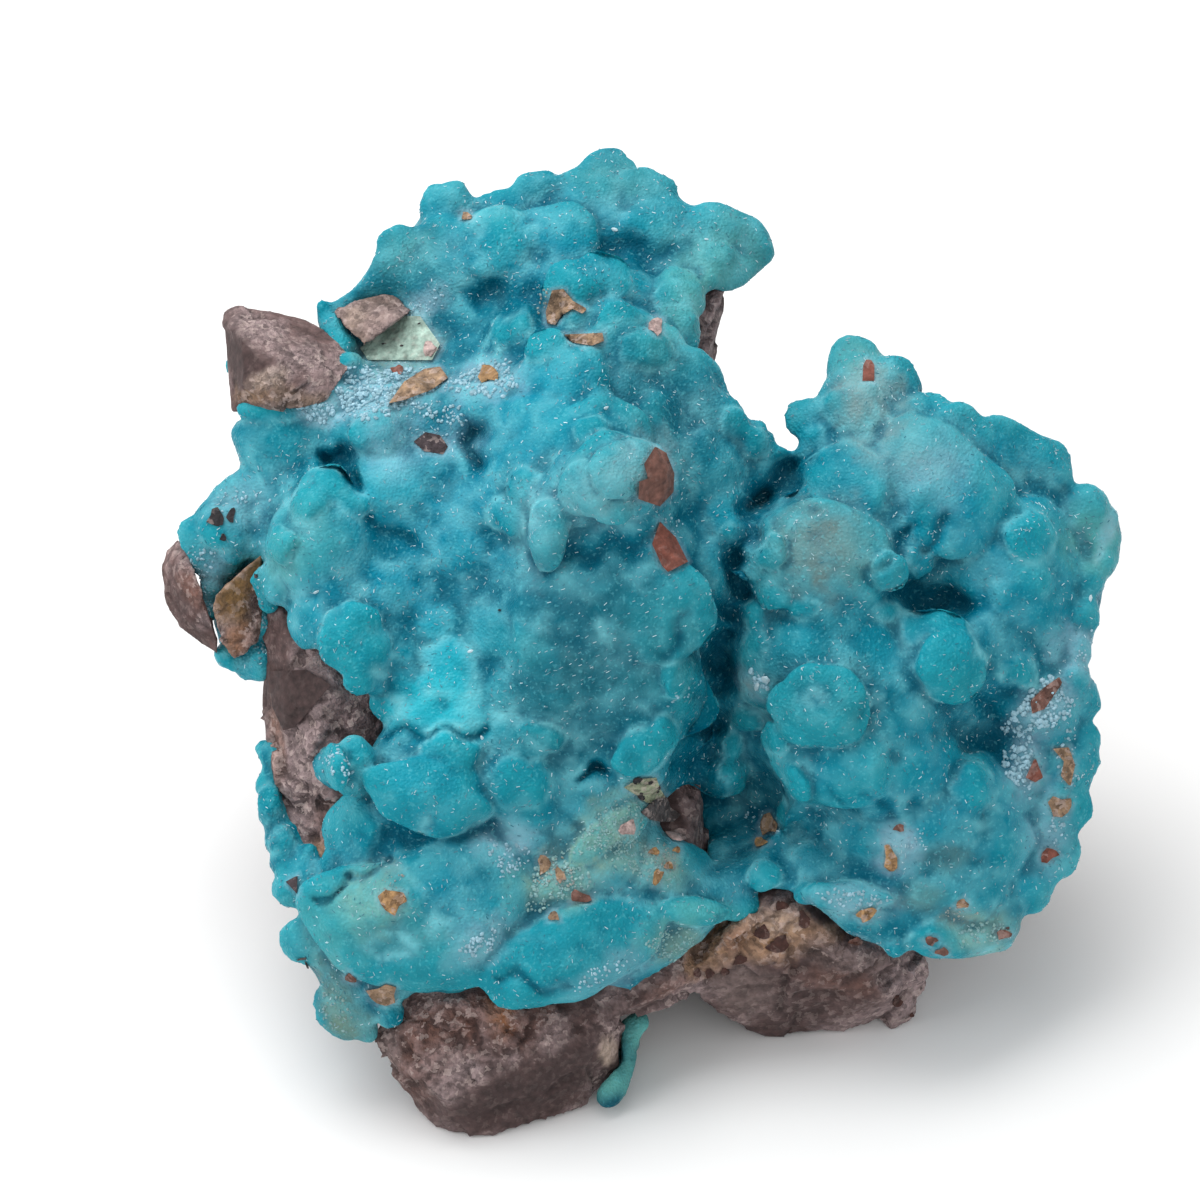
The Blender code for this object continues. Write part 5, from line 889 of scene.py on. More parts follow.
def paint_rock(rock, base, areas, seed, breakage):
    """Colours a rock, and breaks its surface up where it is rough."""
    points = vertex_array(rock)
    normals = normal_array(rock)
    uvw = layout(points)
    wobble = fractal(points, 2.6, 3, seed)
    patches = fractal(points, 11.0, 3, seed + 1)
    colour = np.tile(base, (len(points), 1))
    colour = mix(colour, PINK_GREY, 0.25 + 1.2 * patches)
    colour = mix(colour, JOINT_FACE, -1.4 * patches - 0.2)
    rough = np.clip(0.55 + 1.5 * patches, 0.15, 1)
    for tone, strength, coarse, u, v, long, wide, turn in areas:
        share = spot_share(uvw, normals, u, v, long, wide, turn, wobble)
        colour = mix(colour, tone, strength * share)
        rough = rough * (1 - share) + coarse * share
    facets = sum(broken_faces(points, size, steep) for size, steep in FACETS)
    grit = fractal(points, 1.3, 3, seed + 2)
    breaks = fractal(points, 4.5, 4, seed + 3)
    raise_by(rock, breakage * (0.3 + 0.7 * rough) * facets - 0.1 + rough * (0.12 * grit + 0.2 * breaks))
    hollow = np.clip(-bulge(rock, 5) / 0.12, 0, 1)
    colour = mix(colour, NIGHT_ROCK, 0.6 * hollow)
    colour = mix(colour, PINK_GREY, 0.35 * rough * np.clip(bulge(rock, 5) / 0.12, 0, 1))
    keep_in_box(rock)
    paint(rock, "rock_colour", colour)
    paint(rock, "rock_rough", np.tile(rough[:, None], (1, 3)))
    select_only(rock)
    bpy.ops.object.shade_smooth()


def rock_material(name, speckle):
    """Broken rock: painted colour with light and dark grains where the surface is rough."""
    material, nodes, link, shader = new_material(name, 0.72)
    shader.inputs["Specular IOR Level"].default_value = 0.35
    where = add_node(nodes, "ShaderNodeTexCoord")
    tone = add_node(nodes, "ShaderNodeVertexColor", set_layer_name="rock_colour")
    rough = add_node(nodes, "ShaderNodeVertexColor", set_layer_name="rock_rough")
    warp = add_node(nodes, "ShaderNodeTexNoise", Scale=900.0, Detail=2.0, Roughness=0.7)
    link(where.outputs["Object"], warp.inputs["Vector"])
    bent = add_node(nodes, "ShaderNodeVectorMath", set_operation="MULTIPLY_ADD")
    bent.inputs[1].default_value = (0.0016, 0.0016, 0.0016)
    link(warp.outputs["Color"], bent.inputs[0])
    link(where.outputs["Object"], bent.inputs[2])
    cells = add_node(nodes, "ShaderNodeTexVoronoi", Scale=1500.0)
    link(bent.outputs[0], cells.inputs["Vector"])
    chance = add_node(nodes, "ShaderNodeSeparateColor")
    link(cells.outputs["Color"], chance.inputs["Color"])
    last = tone.outputs["Color"]
    for low, high, grain_colour in ((0.72, 0.86, linear(196, 176, 170)), (0.30, 0.16, linear(44, 32, 32))):
        pick = add_node(nodes, "ShaderNodeMapRange")
        pick.inputs["From Min"].default_value = low
        pick.inputs["From Max"].default_value = high
        pick.inputs["To Max"].default_value = speckle
        link(chance.outputs["Red"], pick.inputs["Value"])
        share = add_node(nodes, "ShaderNodeMath", set_operation="MULTIPLY")
        link(pick.outputs["Result"], share.inputs[0])
        link(rough.outputs["Color"], share.inputs[1])
        grains = add_node(nodes, "ShaderNodeMix", set_data_type="RGBA")
        grains.inputs[7].default_value = (*grain_colour, 1)
        link(share.outputs[0], grains.inputs[0])
        link(last, grains.inputs[6])
        last = grains.outputs[2]
    dapple = add_node(nodes, "ShaderNodeMapRange")
    dapple.inputs["From Min"].default_value = 0.3
    dapple.inputs["From Max"].default_value = 0.7
    dapple.inputs["To Min"].default_value = 0.62
    dapple.inputs["To Max"].default_value = 1.3
    link(warp.outputs["Fac"], dapple.inputs["Value"])
    tinted = add_node(nodes, "ShaderNodeVectorMath", set_operation="SCALE")
    link(last, tinted.inputs[0])
    link(dapple.outputs["Result"], tinted.inputs["Scale"])
    link(tinted.outputs[0], shader.inputs["Base Color"])
    fine = add_node(nodes, "ShaderNodeTexNoise", Scale=2400.0, Detail=2.0, Roughness=0.7)
    link(where.outputs["Object"], fine.inputs["Vector"])
    height = add_node(nodes, "ShaderNodeMath", set_operation="ADD")
    link(fine.outputs["Fac"], height.inputs[0])
    link(cells.outputs["Distance"], height.inputs[1])
    strength = add_node(nodes, "ShaderNodeMapRange")
    strength.inputs["To Min"].default_value = 0.12
    strength.inputs["To Max"].default_value = 0.8
    link(rough.outputs["Color"], strength.inputs["Value"])
    bump = add_node(nodes, "ShaderNodeBump", Distance=0.28 * MM)
    link(strength.outputs["Result"], bump.inputs["Strength"])
    link(height.outputs[0], bump.inputs["Height"])
    link(bump.outputs["Normal"], shader.inputs["Normal"])
    return material


host_rock = rock_material("host_rock_broken", 0.45)
matrix = rock_surface("matrix_rock", ROCK_VOXEL, ROCK_TRIANGLES)
paint_rock(matrix, DARK_ROCK, ROCK_AREAS, 11.0, MATRIX_BREAKAGE)
matrix.data.materials.append(host_rock)
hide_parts("matrix_rock")
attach(matrix, "root")


# Rock fragments.
# Pieces of the same rock that broke loose before the crust grew round them and cemented them in:
# a block, a chip and two shards.

SHARD_VOXEL = 0.35
SHARD_TRIANGLES = 40000
SHARD_BREAKAGE = 0.3
UMBER = linear(104, 88, 78)
SHARD_BROWN = linear(96, 70, 66)
OCHRE_FACE = linear(128, 96, 58)
OLIVE_BAND = linear(118, 98, 80)

FRAGMENTS = {
    "rock_block_upper_left": (linear(112, 88, 86), [
        (JOINT_FACE, 1.0, 0.05, -45.4, 30.6, 2.0, 5.0, 8), (PINK_GREY, 0.8, 1.0, -42.4, 33.6, 3, 2.4, -40),
        (PINK_GREY, 0.7, 1.0, -36, 30.2, 5, 2, -20), (PINK_GREY, 0.8, 1.0, -40, 28.4, 3.4, 1.6, 30),
        (BEIGE, 0.7, 0.9, -41.6, 27.6, 3, 1.4, 30), (OLIVE_BAND, 0.85, 0.9, -38.6, 25, 6, 1.8, -8),
        (NIGHT_ROCK, 0.5, 0.9, -38.6, 24.8, 2, 1, 0), (TAN_ROCK, 0.4, 0.9, -43.6, 25.4, 2.4, 1, 0),
    ]),
    "rock_chip_top": (linear(128, 108, 98), [
        (BEIGE, 0.4, 1.0, -30.6, 35.6, 2, 1.2, 20), (UMBER, 0.6, 1.0, -26, 37.2, 3, 1, 10),
    ]),
    "rock_fragment_left": (SHARD_BROWN, [
        (JOINT_FACE, 0.6, 0.3, -53, -1.4, 2, 4.6, 30), (RED_BROWN, 0.6, 0.8, -51, 1.6, 1.4, 3, 30),
        (PINK_GREY, 0.4, 0.9, -49.6, -2.6, 1.2, 1.2, 0),
    ]),
    "rock_fragment_ochre": (OCHRE_FACE, [
        (OCHRE_FACE, 1.0, 0.5, -46, 0.6, 3.2, 3.4, 40), (NIGHT_ROCK, 0.6, 1.0, -43.6, -1.6, 1.2, 3.2, 0),
        (STREAKY, 0.7, 1.0, -42.8, -0.6, 0.9, 2.6, 0), (OCHRE_ROCK, 0.6, 0.6, -45.4, -5, 1.6, 2, 0),
    ]),
}

shard_rock = rock_material("shard_rock_speckled", 0.45)
for number, (node, (base, areas)) in enumerate(FRAGMENTS.items()):
    shard = rock_surface(node, SHARD_VOXEL, SHARD_TRIANGLES)
    paint_rock(shard, base, areas, 20.0 + number, SHARD_BREAKAGE)
    shard.data.materials.append(shard_rock)
    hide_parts(node)
    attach(shard, "root")


# Bare windows of rock.
# Where the crust broke away or never closed, small faces of the host rock show through it: flat
# chips with a crisp edge, tan, ochre or red-brown, with a thin pale rim of broken crust round them.

# Grid step, depth and evenness of a face, and how far its top looks for a higher neighbour.
WINDOW_STEP = 0.24
WINDOW_DEPTH = 1.4
WINDOW_FLATNESS = 0.75
WINDOW_REACH = 0.5
WINDOW_BITE = 0.1
WINDOW_GRIT = 0.28
WINDOW_ANGLE = math.radians(50)
RIM_WIDTH = 0.4
RIM_STRENGTH = 0.28
BROWN = linear(118, 82, 72)
RED_CHIP = linear(128, 76, 64)
TAN_CHIP = linear(158, 130, 104)
OCHRE_CHIP = linear(176, 138, 96)
DARK_CHIP = linear(66, 56, 60)
BLACK_CHIP = linear(40, 38, 42)
# Dark brown of painted shade inside the pits.
PIT_SHADE = linear(72, 44, 38)
PINK_CHIP = linear(186, 162, 158)
SLATE_CHIP = linear(98, 92, 92)
PALE_FACE = linear(158, 184, 172)
CREAM_FACE = linear(160, 168, 140)


def oval(u, v, long, wide, turn=0.0, bays=9):
    """Outline of a small uneven oval."""
    points = []
    for i in range(bays):
        angle = 2 * math.pi * i / bays
        reach = 1 + 0.22 * math.sin(3 * angle + 7 * u) + 0.12 * math.cos(5 * angle + 5 * v)
        du, dv = long * reach * math.cos(angle), wide * reach * math.sin(angle)
        bend = math.radians(turn)
        across = du * math.cos(bend) - dv * math.sin(bend)
        along = du * math.sin(bend) + dv * math.cos(bend)
        points.append((u + across, v + along))
    return points


# Windows: outline, colour, roughness, and how far the face stands over the crust.
WINDOWS = [
    ([(6.9, 19.2), (8.3, 18.4), (9.3, 15.8), (9.2, 13.5), (7.5, 11.7), (4.8, 12.6), (4.9, 14.8),
    (6, 15.2), (5.5, 17)],
     BROWN, 0.15, 0.7),
    ([(7.5, 9.8), (6.5, 7), (7.8, 4.2), (8.5, 3.5), (11, 4.8), (9.5, 7.8)], RED_CHIP, 0.25, 0.6),
    ([(-26.4, 24.6), (-24.5, 27.3), (-22, 28.9), (-20, 29.2), (-19, 27.8), (-21, 26.3),
    (-24.5, 25)], TAN_CHIP, 0.8, 0.6),
    (oval(-14, 28.3, 1.3, 1.1), OCHRE_CHIP, 0.7, 0.3), (oval(-25.3, 28.8, 0.8, 0.6), RED_CHIP, 0.5, 0.3),
    ([(-23.3, 19.8), (-21.8, 21), (-20, 20.6), (-19, 19.2), (-19.6, 18.2), (-22, 18.6)], DARK_CHIP, 0.7, 0.1),
    (oval(-16.7, 48, 0.7, 0.5), TAN_CHIP, 0.8, 0.3),
    ([(-6.8, 36), (-6, 38.7), (-4.6, 38.9), (-3.4, 37.4), (-1.6, 36.4), (-2.2, 35.8), (-3.4, 36.4),
    (-4.8, 35.6),
      (-5.6, 34.4), (-6.6, 34.6)], TAN_CHIP, 1.0, 0.5),
    ([(-4.5, 33.2), (0.3, 33.4), (0.5, 32.4), (-1, 31.8), (-3.4, 32.2)], TAN_CHIP, 1.0, 0.3),
    (oval(7, 34.3, 0.9, 1.1), PINK_CHIP, 0.7, 0.2),
    (oval(-48, 10.3, 1.0, 1.2), BLACK_CHIP, 0.6, 0.2), (oval(-46.1, 10.6, 0.5, 1.0, -15), BLACK_CHIP, 0.6, 0.2),
    (oval(-47.1, 7.8, 0.4, 0.5), BLACK_CHIP, 0.6, 0.2),
    ([(32.8, 27.4), (34.3, 27.4), (34.3, 29.4), (33.9, 30.0), (33.3, 30.1), (32.9, 29.4)], RED_CHIP, 0.3, 0.2),
    ([(54, -14.2), (55.6, -13.6), (57.8, -10.4), (57.4, -9.6), (55.4, -11), (53.8, -12.6)], BROWN, 0.7, 0.4),
    ([(56.6, -18.6), (58.6, -18.4), (59.4, -20.6), (58.8, -23.4), (57.6, -22),
    (58, -20.2)], TAN_CHIP, 0.9, 0.4),
    ([(53.2, -22.2), (54.4, -19.6), (55.4, -22.2), (54.4, -22.8)], RED_CHIP, 0.4, 0.5),
    (oval(57.5, -25.8, 1.5, 1.3), TAN_CHIP, 0.9, 0.4), (oval(56.1, -31.9, 1.2, 0.8, 30), RED_CHIP, 0.7, 0.3),
    (oval(36.3, -32.4, 0.8, 1.8, 10), OCHRE_CHIP, 0.9, 0.3), (oval(37.4, -28.5, 0.7, 0.5), BROWN, 0.5, 0.3),
    (oval(33.3, -39.3, 1.3, 0.8, 20), OCHRE_CHIP, 0.9, 0.4), (oval(32, -42.7, 0.9, 0.5), BROWN, 0.6, 0.3),
    (oval(41.4, -42.6, 0.8, 0.6), BROWN, 0.6, 0.3), (oval(42.8, -44, 0.9, 0.5), BROWN, 0.6, 0.3),
    (oval(45.3, -38, 0.8, 0.6), TAN_CHIP, 0.8, 0.3), (oval(50.5, -41.8, 1.0, 0.6), BROWN, 0.6, 0.3),
    (oval(-26, -37.6, 1.7, 1.5), OCHRE_CHIP, 1.0, 0.4), (oval(-27.1, -49.4, 1.8, 1.3), TAN_CHIP, 0.7, 0.3),
    ([(-39.3, -35.2), (-37.8, -34.4), (-37.9, -36.7)], DARK_CHIP, 0.3, 0.4),
    (oval(-31.2, -47.3, 0.8, 0.5, -30), BROWN, 0.4, 0.2),
    (oval(21, -28, 1.1, 1.3), TAN_CHIP, 0.9, 0.4), (oval(20, -30.2, 0.8, 0.6), OCHRE_CHIP, 0.8, 0.3),
    (oval(-7, -33, 0.8, 1.2), TAN_CHIP, 0.9, 0.5), (oval(-2.5, -37.1, 1.4, 0.7, -15), BROWN, 0.5, 0.5),
    (oval(-5.8, -39.5, 0.7, 0.6), TAN_CHIP, 0.9, 0.3), (oval(-5.0, -34.4, 0.6, 1.0, 20), TAN_CHIP, 0.9, 0.5),
    (oval(6.8, -31.4, 0.7, 0.5), OCHRE_CHIP, 0.9, 0.3), (oval(8.6, -33.2, 0.6, 0.5), OCHRE_CHIP, 0.9, 0.3),
    (oval(7.2, -34.6, 0.6, 1.1, -20), OCHRE_CHIP, 0.9, 0.3), (oval(9.6, -31.2, 0.5, 0.4), OCHRE_CHIP, 0.9, 0.3),
    (oval(3.5, -28.5, 1.2, 0.9, 30), PINK_CHIP, 0.8, 0.6), (oval(9.7, -29.3, 1.3, 0.8), PINK_CHIP, 0.6, 0.6),
    (oval(7.6, -26.4, 2.2, 1.5, -10), SLATE_CHIP, 0.9, 0.8),
    (oval(5.9, -23.8, 2.4, 1.5, -20), CREAM_FACE, 0.9, 0.25),
    ([(-30, 31.5), (-25, 35.5), (-22.5, 35.5), (-20, 32), (-21, 30), (-29, 30)], PALE_FACE, 0.35, 0.4),
    (oval(-21.3, 31.4, 0.9, 1.0), PINK_CHIP, 0.9, 0.7),
    # the dark joint face on the left wall
    ([(-41.4, -8.9), (-36.7, -8.7), (-33.6, -10.6), (-35.9, -13.3), (-38.1, -15.9), (-39.6, -16.3),
    (-41, -13.3)],
     JOINT_FACE, 0.05, 0.2),
]

# Pits in the tan face of the right foot, shown as dark flat patches of painted shade: u, v, half length, half
# width and turn.
PITS = [
    (20.3, -41.6, 1.0, 0.9), (22.3, -43.1, 1.5, 1.0, 25), (22.7, -38.2, 0.9, 0.6),
    (25.5, -40, 0.7, 1.2, 10), (17.5, -45, 0.9, 0.6, 20), (12.2, -46.6, 0.5, 0.6),
    (13.7, -46.7, 0.6, 0.6), (15.6, -46.5, 0.6, 0.5), (37.2, -50.2, 0.6, 0.8), (39, -51.9, 0.3, 0.3),
]
WINDOWS += [(oval(*pit), PIT_SHADE, 0.2, 0.12) for pit in PITS]

# Black bits, given in the same way, with how rough each is and how far it stands over the crust.
BLACK_BITS = [
    ((4.7, -22.6, 0.7, 0.4, 20), 0.3, 0.45), ((6.3, -22.8, 0.4, 0.3), 0.3, 0.45),
    ((5.2, -24.4, 0.5, 0.7), 0.3, 0.45), ((7.2, -23.6, 0.4, 0.5), 0.3, 0.45),
    ((-37.2, -44.9, 0.8, 0.15, 8), 0.3, 0.15), ((-36.6, -45.8, 0.15, 0.7, 20), 0.3, 0.15),
    ((-27, 32, 0.5, 0.15), 0.3, 0.6), ((-24.8, 31.8, 0.3, 0.15), 0.3, 0.6),
    ((-22.6, 34.6, 0.3, 0.12, 30), 0.3, 0.6), ((-12.6, -1.3, 0.2, 0.2), 0.3, 0.2),
    ((-43.0, 3.0, 0.3, 0.3), 0.3, 0.2), ((51, -41, 0.3, 0.2), 0.3, 0.2),
]
WINDOWS += [(oval(*bit), BLACK_CHIP, coarse, lift) for bit, coarse, lift in BLACK_BITS]


def inside(u, v, outline):
    """Whether u, v lies inside a closed outline."""
    within = False
    for (u0, v0), (u1, v1) in zip(outline, outline[1:] + outline[:1]):
        if (v0 > v) != (v1 > v) and u < u0 + (v - v0) * (u1 - u0) / (v1 - v0):
            within = not within
    return within


def nearest_on(u, v, outline):
    """Nearest point of a closed outline to u, v, and its distance."""
    best = None
    for (u0, v0), (u1, v1) in zip(outline, outline[1:] + outline[:1]):
        du, dv = u1 - u0, v1 - v0
        share = min(1.0, max(0.0, ((u - u0) * du + (v - v0) * dv) / (du * du + dv * dv)))
        spot = (u0 + share * du, v0 + share * dv)
        away = math.hypot(spot[0] - u, spot[1] - v)
        if best is None or away < best[2]:
            best = (*spot, away)
    return best


def window_body(outline, trees, lift, coarse, seed):
    """A thin slab in the shape of an outline, bedded in the surface below it."""
    us = np.arange(min(p[0] for p in outline) - WINDOW_STEP, max(p[0] for p in outline) + WINDOW_STEP, WINDOW_STEP)
    vs = np.arange(min(p[1] for p in outline) - WINDOW_STEP, max(p[1] for p in outline) + WINDOW_STEP, WINDOW_STEP)
    cells = [(i, j) for i in range(len(us)) for j in range(len(vs))
             if inside(us[i] + WINDOW_STEP / 2, vs[j] + WINDOW_STEP / 2, outline)]
    filled = set(cells)
    corners = sorted({(i + a, j + b) for i, j in cells for a in (0, 1) for b in (0, 1)})
    number = {corner: n for n, corner in enumerate(corners)}
    spots = []
    for i, j in corners:
        u, v = us[0] + i * WINDOW_STEP, vs[0] + j * WINDOW_STEP
        around = [(i + a, j + b) in filled for a in (-1, 0) for b in (-1, 0)]
        if not all(around):
            u, v, _ = nearest_on(u, v, outline)
        spots.append((u, v))
    spots = np.array(spots)
    heights = [drop_on(trees, u, v) for u, v in spots]
    known = [h for h in heights if h is not None]
    if len(known) < 3:
        return None
    heights = np.array([h if h is not None else min(known) for h in heights])
    centre = spots.mean(0)
    du, dv = (spots - centre).T
    terms = np.column_stack((np.ones(len(du)), du, dv))
    plane = terms @ np.linalg.lstsq(terms, heights, rcond=None)[0]
    gaps = np.hypot(*(spots[:, None] - spots[None]).transpose(2, 0, 1))
    highest = np.where(gaps < WINDOW_REACH, heights[None], TO_BELOW).max(1)
    flat = WINDOW_FLATNESS * plane + (1 - WINDOW_FLATNESS) * heights
    grit = np.array([noise.fractal(Vector((u, v, seed)) * 1.6, 0.7, 2.1, 3) for u, v in spots])
    top = np.maximum(flat, highest - WINDOW_BITE) + lift + coarse * WINDOW_GRIT * grit
    verts = [place(u, v, w) for (u, v), w in zip(spots, top)]
    verts += [place(u, v, w - WINDOW_DEPTH - lift) for (u, v), w in zip(spots, heights)]
    count = len(spots)
    faces = []
    for i, j in cells:
        a, b, c, d = (number[corner] for corner in ((i, j), (i + 1, j), (i + 1, j + 1), (i, j + 1)))
        faces += [(a, b, c, d), (d + count, c + count, b + count, a + count)]
        for (di, dj), (p, q) in (((0, -1), (a, b)), ((1, 0), (b, c)), ((0, 1), (c, d)), ((-1, 0), (d, a))):
            if (i + di, j + dj) not in filled:
                faces.append((q, p, p + count, q + count))
    return verts, faces


def pale_rim(obj, outline, colour, strength, width):
    """Lightens the crust in a thin uneven band round an outline."""
    attribute = obj.data.color_attributes["crust_colour"]
    rgba = np.empty(len(obj.data.vertices) * 4, dtype=np.float32)
    attribute.data.foreach_get("color", rgba)
    rgba = rgba.reshape(-1, 4)
    points = vertex_array(obj)
    uvw = layout(points)
    low = np.min(outline, axis=0) - 2 * width
    high = np.max(outline, axis=0) + 2 * width
    near = np.all((uvw[:, :2] > low) & (uvw[:, :2] < high), axis=1)
    near &= normal_array(obj) @ np.array(sight_line) > -0.1
    for index in np.nonzero(near)[0]:
        u, v = uvw[index, :2]
        away = nearest_on(u, v, outline)[2]
        ragged = width * (1 + 0.7 * noise.noise(Vector((u, v, 3.0)) * 1.3))
        share = strength * float(np.clip(1.4 - away / ragged, 0, 1))
        rgba[index, :3] = rgba[index, :3] * (1 - share) + np.array(colour) * share
    attribute.data.foreach_set("color", rgba.ravel())


graph = bpy.context.evaluated_depsgraph_get()
window_trees = [BVHTree.FromObject(obj, graph) for obj in (crust, matrix)]
verts, faces, tones, roughs = [], [], [], []
for seed, (outline, tone, coarse, lift) in enumerate(WINDOWS):
    body = window_body(outline, window_trees, lift, coarse, float(seed))
    if body is None:
        continue
    faces += [tuple(i + len(verts) for i in face) for face in body[1]]
    verts += body[0]
    tones += [tone] * len(body[0])
    roughs += [coarse] * len(body[0])
    if not any(tone is dark for dark in (PIT_SHADE, BLACK_CHIP, JOINT_FACE)):
        pale_rim(crust, outline, FROST, RIM_STRENGTH, RIM_WIDTH)

windows_mesh = bpy.data.meshes.new("rock_windows")
windows_mesh.from_pydata(verts, [], faces)
windows = bpy.data.objects.new("rock_windows", windows_mesh)
bpy.context.scene.collection.objects.link(windows)
select_only(windows)
bpy.ops.object.mode_set(mode="EDIT")
bpy.ops.mesh.select_all(action="SELECT")
bpy.ops.mesh.normals_make_consistent(inside=False)
bpy.ops.object.mode_set(mode="OBJECT")
keep_in_box(windows)
points = vertex_array(windows)
tones = np.array(tones) * (1 + 0.35 * fractal(points, 0.9, 3, 8.0))[:, None]
tones = mix(tones, np.array(tones) * 0.45, fractal(points, 1.8, 3, 9.0) * 1.2 * np.array(roughs))
paint(windows, "rock_colour", tones)
paint(windows, "rock_rough", np.tile(np.array(roughs)[:, None], (1, 3)))
bpy.ops.object.shade_smooth_by_angle(angle=WINDOW_ANGLE)
windows.data.materials.append(shard_rock)
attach(windows, "root")


# Druse.
# Small pale crystals of the same mineral that sit in crusts on the lumps and round the bare rock:
# blunt grains of half a millimetre to a millimetre, grown on, white-blue or pale green.

GRAIN_SINK = 0.3
GRAIN_CROWDING = 2.2
GRAIN_SIZES = (0.3, 0.85)
GRAIN_TONES = (0.45, 1.1)
GRAIN_SLENDER = (0.5, 0.9)
# Zones of grains: colour, u, v, half length, half width, turn, grains per square millimetre, size.
DRUSE_ZONES = [
    # round the chips at the upper left
    (FROST, -27.5, 26.4, 7.0, 3.0, 5, 3.0, 1.1), (FROST, -14.2, 27.4, 4.4, 2.2, 10, 2.6, 1.0),
    (FROST, -35.2, 23.6, 2.4, 1.2, 0, 3.0, 1.1), (FROST, -20.5, 23.6, 4.5, 1.3, -10, 1.6, 0.8),
    (FROST, -21.6, 37, 3.0, 1.1, 35, 1.2, 0.7), (FROST, -18, 20.4, 2.4, 0.8, -20, 0.9, 0.6),
    # left arm and its outer edge
    (FROST, -50.4, 3.6, 1.5, 3.6, -20, 1.6, 0.8), (FROST, -48.6, -1.0, 1.2, 2.6, 0, 1.6, 0.7),
    (FROST, -44.8, 12.4, 3.2, 1.2, 10, 1.0, 0.7), (GREY_TEAL, -42.4, -4.0, 1.4, 4.0, 0, 1.6, 0.7),
    # right lobe
    (FROST, 55.0, -13.6, 4.6, 2.6, 35, 2.6, 1.1), (FROST, 52.6, -20.8, 1.9, 3.6, 5, 3.0, 1.0),
    (FROST, 58.6, -19.6, 1.3, 3.6, 0, 1.6, 0.8), (FROST, 60.6, -6.4, 0.9, 3.2, -25, 1.4, 0.6),
    (FROST, 57.2, -29.0, 1.2, 3.4, 0, 1.2, 0.7), (FROST, 19.9, -10.2, 1.5, 0.7, -50, 4.0, 0.9),
    (FROST, 31.4, -37.4, 4.2, 1.3, -5, 1.8, 0.8), (FROST, 38.6, -30.2, 2.4, 1.4, 0, 1.2, 0.6),
    (PALE_GREEN, 48.4, -41.6, 3.4, 1.6, 0, 2.0, 0.7), (TAN, 44.6, -39.2, 2.4, 1.0, 10, 1.2, 0.6),
    # lower left
    (FROST, -15.0, -43.0, 2.6, 1.3, 30, 2.4, 0.9), (FROST, -11.5, -32.2, 2.6, 2.2, -30, 1.8, 0.7),
    (FROST, 0.4, -46.6, 4.4, 0.9, 27, 1.6, 0.7), (FROST, -33.0, -20.6, 2.4, 2.2, 0, 1.2, 0.8),
    (PALE_GREEN, 1.0, -28.6, 5.4, 2.4, 30, 2.6, 0.6), (PALE_GREEN, 4.4, -32.6, 4.6, 2.0, -25, 2.6, 0.6),
    (PALE_GREEN, -5.6, -35.4, 4.0, 2.8, 30, 2.2, 0.8), (TAN, -5.4, -34.6, 2.6, 2.0, 20, 1.4, 0.7),
    (TAN, 7.8, -32.2, 2.6, 1.6, -30, 1.6, 0.5), (OCHRE, 8.2, -32.8, 1.6, 1.2, -30, 1.2, 0.4),
    (PALE_GREEN, 9.6, -43.4, 3.6, 2.4, -25, 2.6, 0.6), (OLIVE, 8.4, -44.4, 2.6, 1.4, -25, 1.4, 0.5),
    (OLIVE, -33.2, -51.0, 1.8, 3.6, 15, 1.4, 0.6), (OCHRE, -26.0, -35.4, 1.6, 1.0, 40, 1.4, 0.5),
    (FROST, 19.4, -26.6, 1.2, 0.8, 0, 1.6, 0.5), (TAN, -6.2, 37.2, 2.4, 1.6, -20, 1.4, 0.6),
    (FROST, 8.4, 8.6, 1.6, 2.6, -30, 1.2, 0.6), (FROST, 10.4, -11.8, 2.8, 0.7, 30, 1.0, 0.6),
]
# Single larger flakes: u, v, length and turn.
FLAKES = [
    (1.8, 46.3, 1.1, 60), (0.8, 24.0, 1.0, 20), (13.3, 45.1, 0.7, 0), (61.3, 0.2, 1.1, 80),
    (20.6, -10.0, 2.6, -55),
    (-5.1, 18.4, 0.8, 45), (-35.4, 1.0, 1.1, 70), (-16.2, -6.4, 0.9, 70), (19.6, -10.8, 1.8, -50),
    (-14.7, -17.3, 0.9, 0),
]


def grown_on(name, shape, placings, tones):
    """One mesh of many copies of a small shape, each with its own placing and colour."""
    corners = np.column_stack((vertex_array(shape), np.ones(len(shape.data.vertices))))
    faces = np.array([tuple(p.vertices) for p in shape.data.polygons])
    points = np.concatenate([corners @ placing.T[:, :3] for placing in placings])
    loops = (np.arange(len(placings))[:, None, None] * len(corners) + faces[None]).reshape(-1, faces.shape[1])
    mesh = bpy.data.meshes.new(name)
    mesh.from_pydata(points.tolist(), [], loops.tolist())
    shape.data = mesh
    shape.name = name
    keep_in_box(shape)
    paint(shape, "crust_colour", np.repeat(np.array(tones), len(corners), axis=0))
    return shape


def upright(normals, along, centres, sizes):
    """Placings whose third axis is the surface normal and whose first lies along a direction."""
    first = along - normals * (along * normals).sum(1)[:, None]
    first /= np.linalg.norm(first, axis=1)[:, None]
    second = np.cross(normals, first)
    placings = np.zeros((len(centres), 4, 4))
    for axis, way in enumerate((first, second, normals)):
        placings[:, :3, axis] = way * sizes[:, axis, None] * MM
    placings[:, :3, 3] = centres
    placings[:, 3, 3] = 1
    return placings


dice = np.random.default_rng(38)
crust_tree = BVHTree.FromObject(crust, bpy.context.evaluated_depsgraph_get())
centres, ups, sizes, tones = [], [], [], []


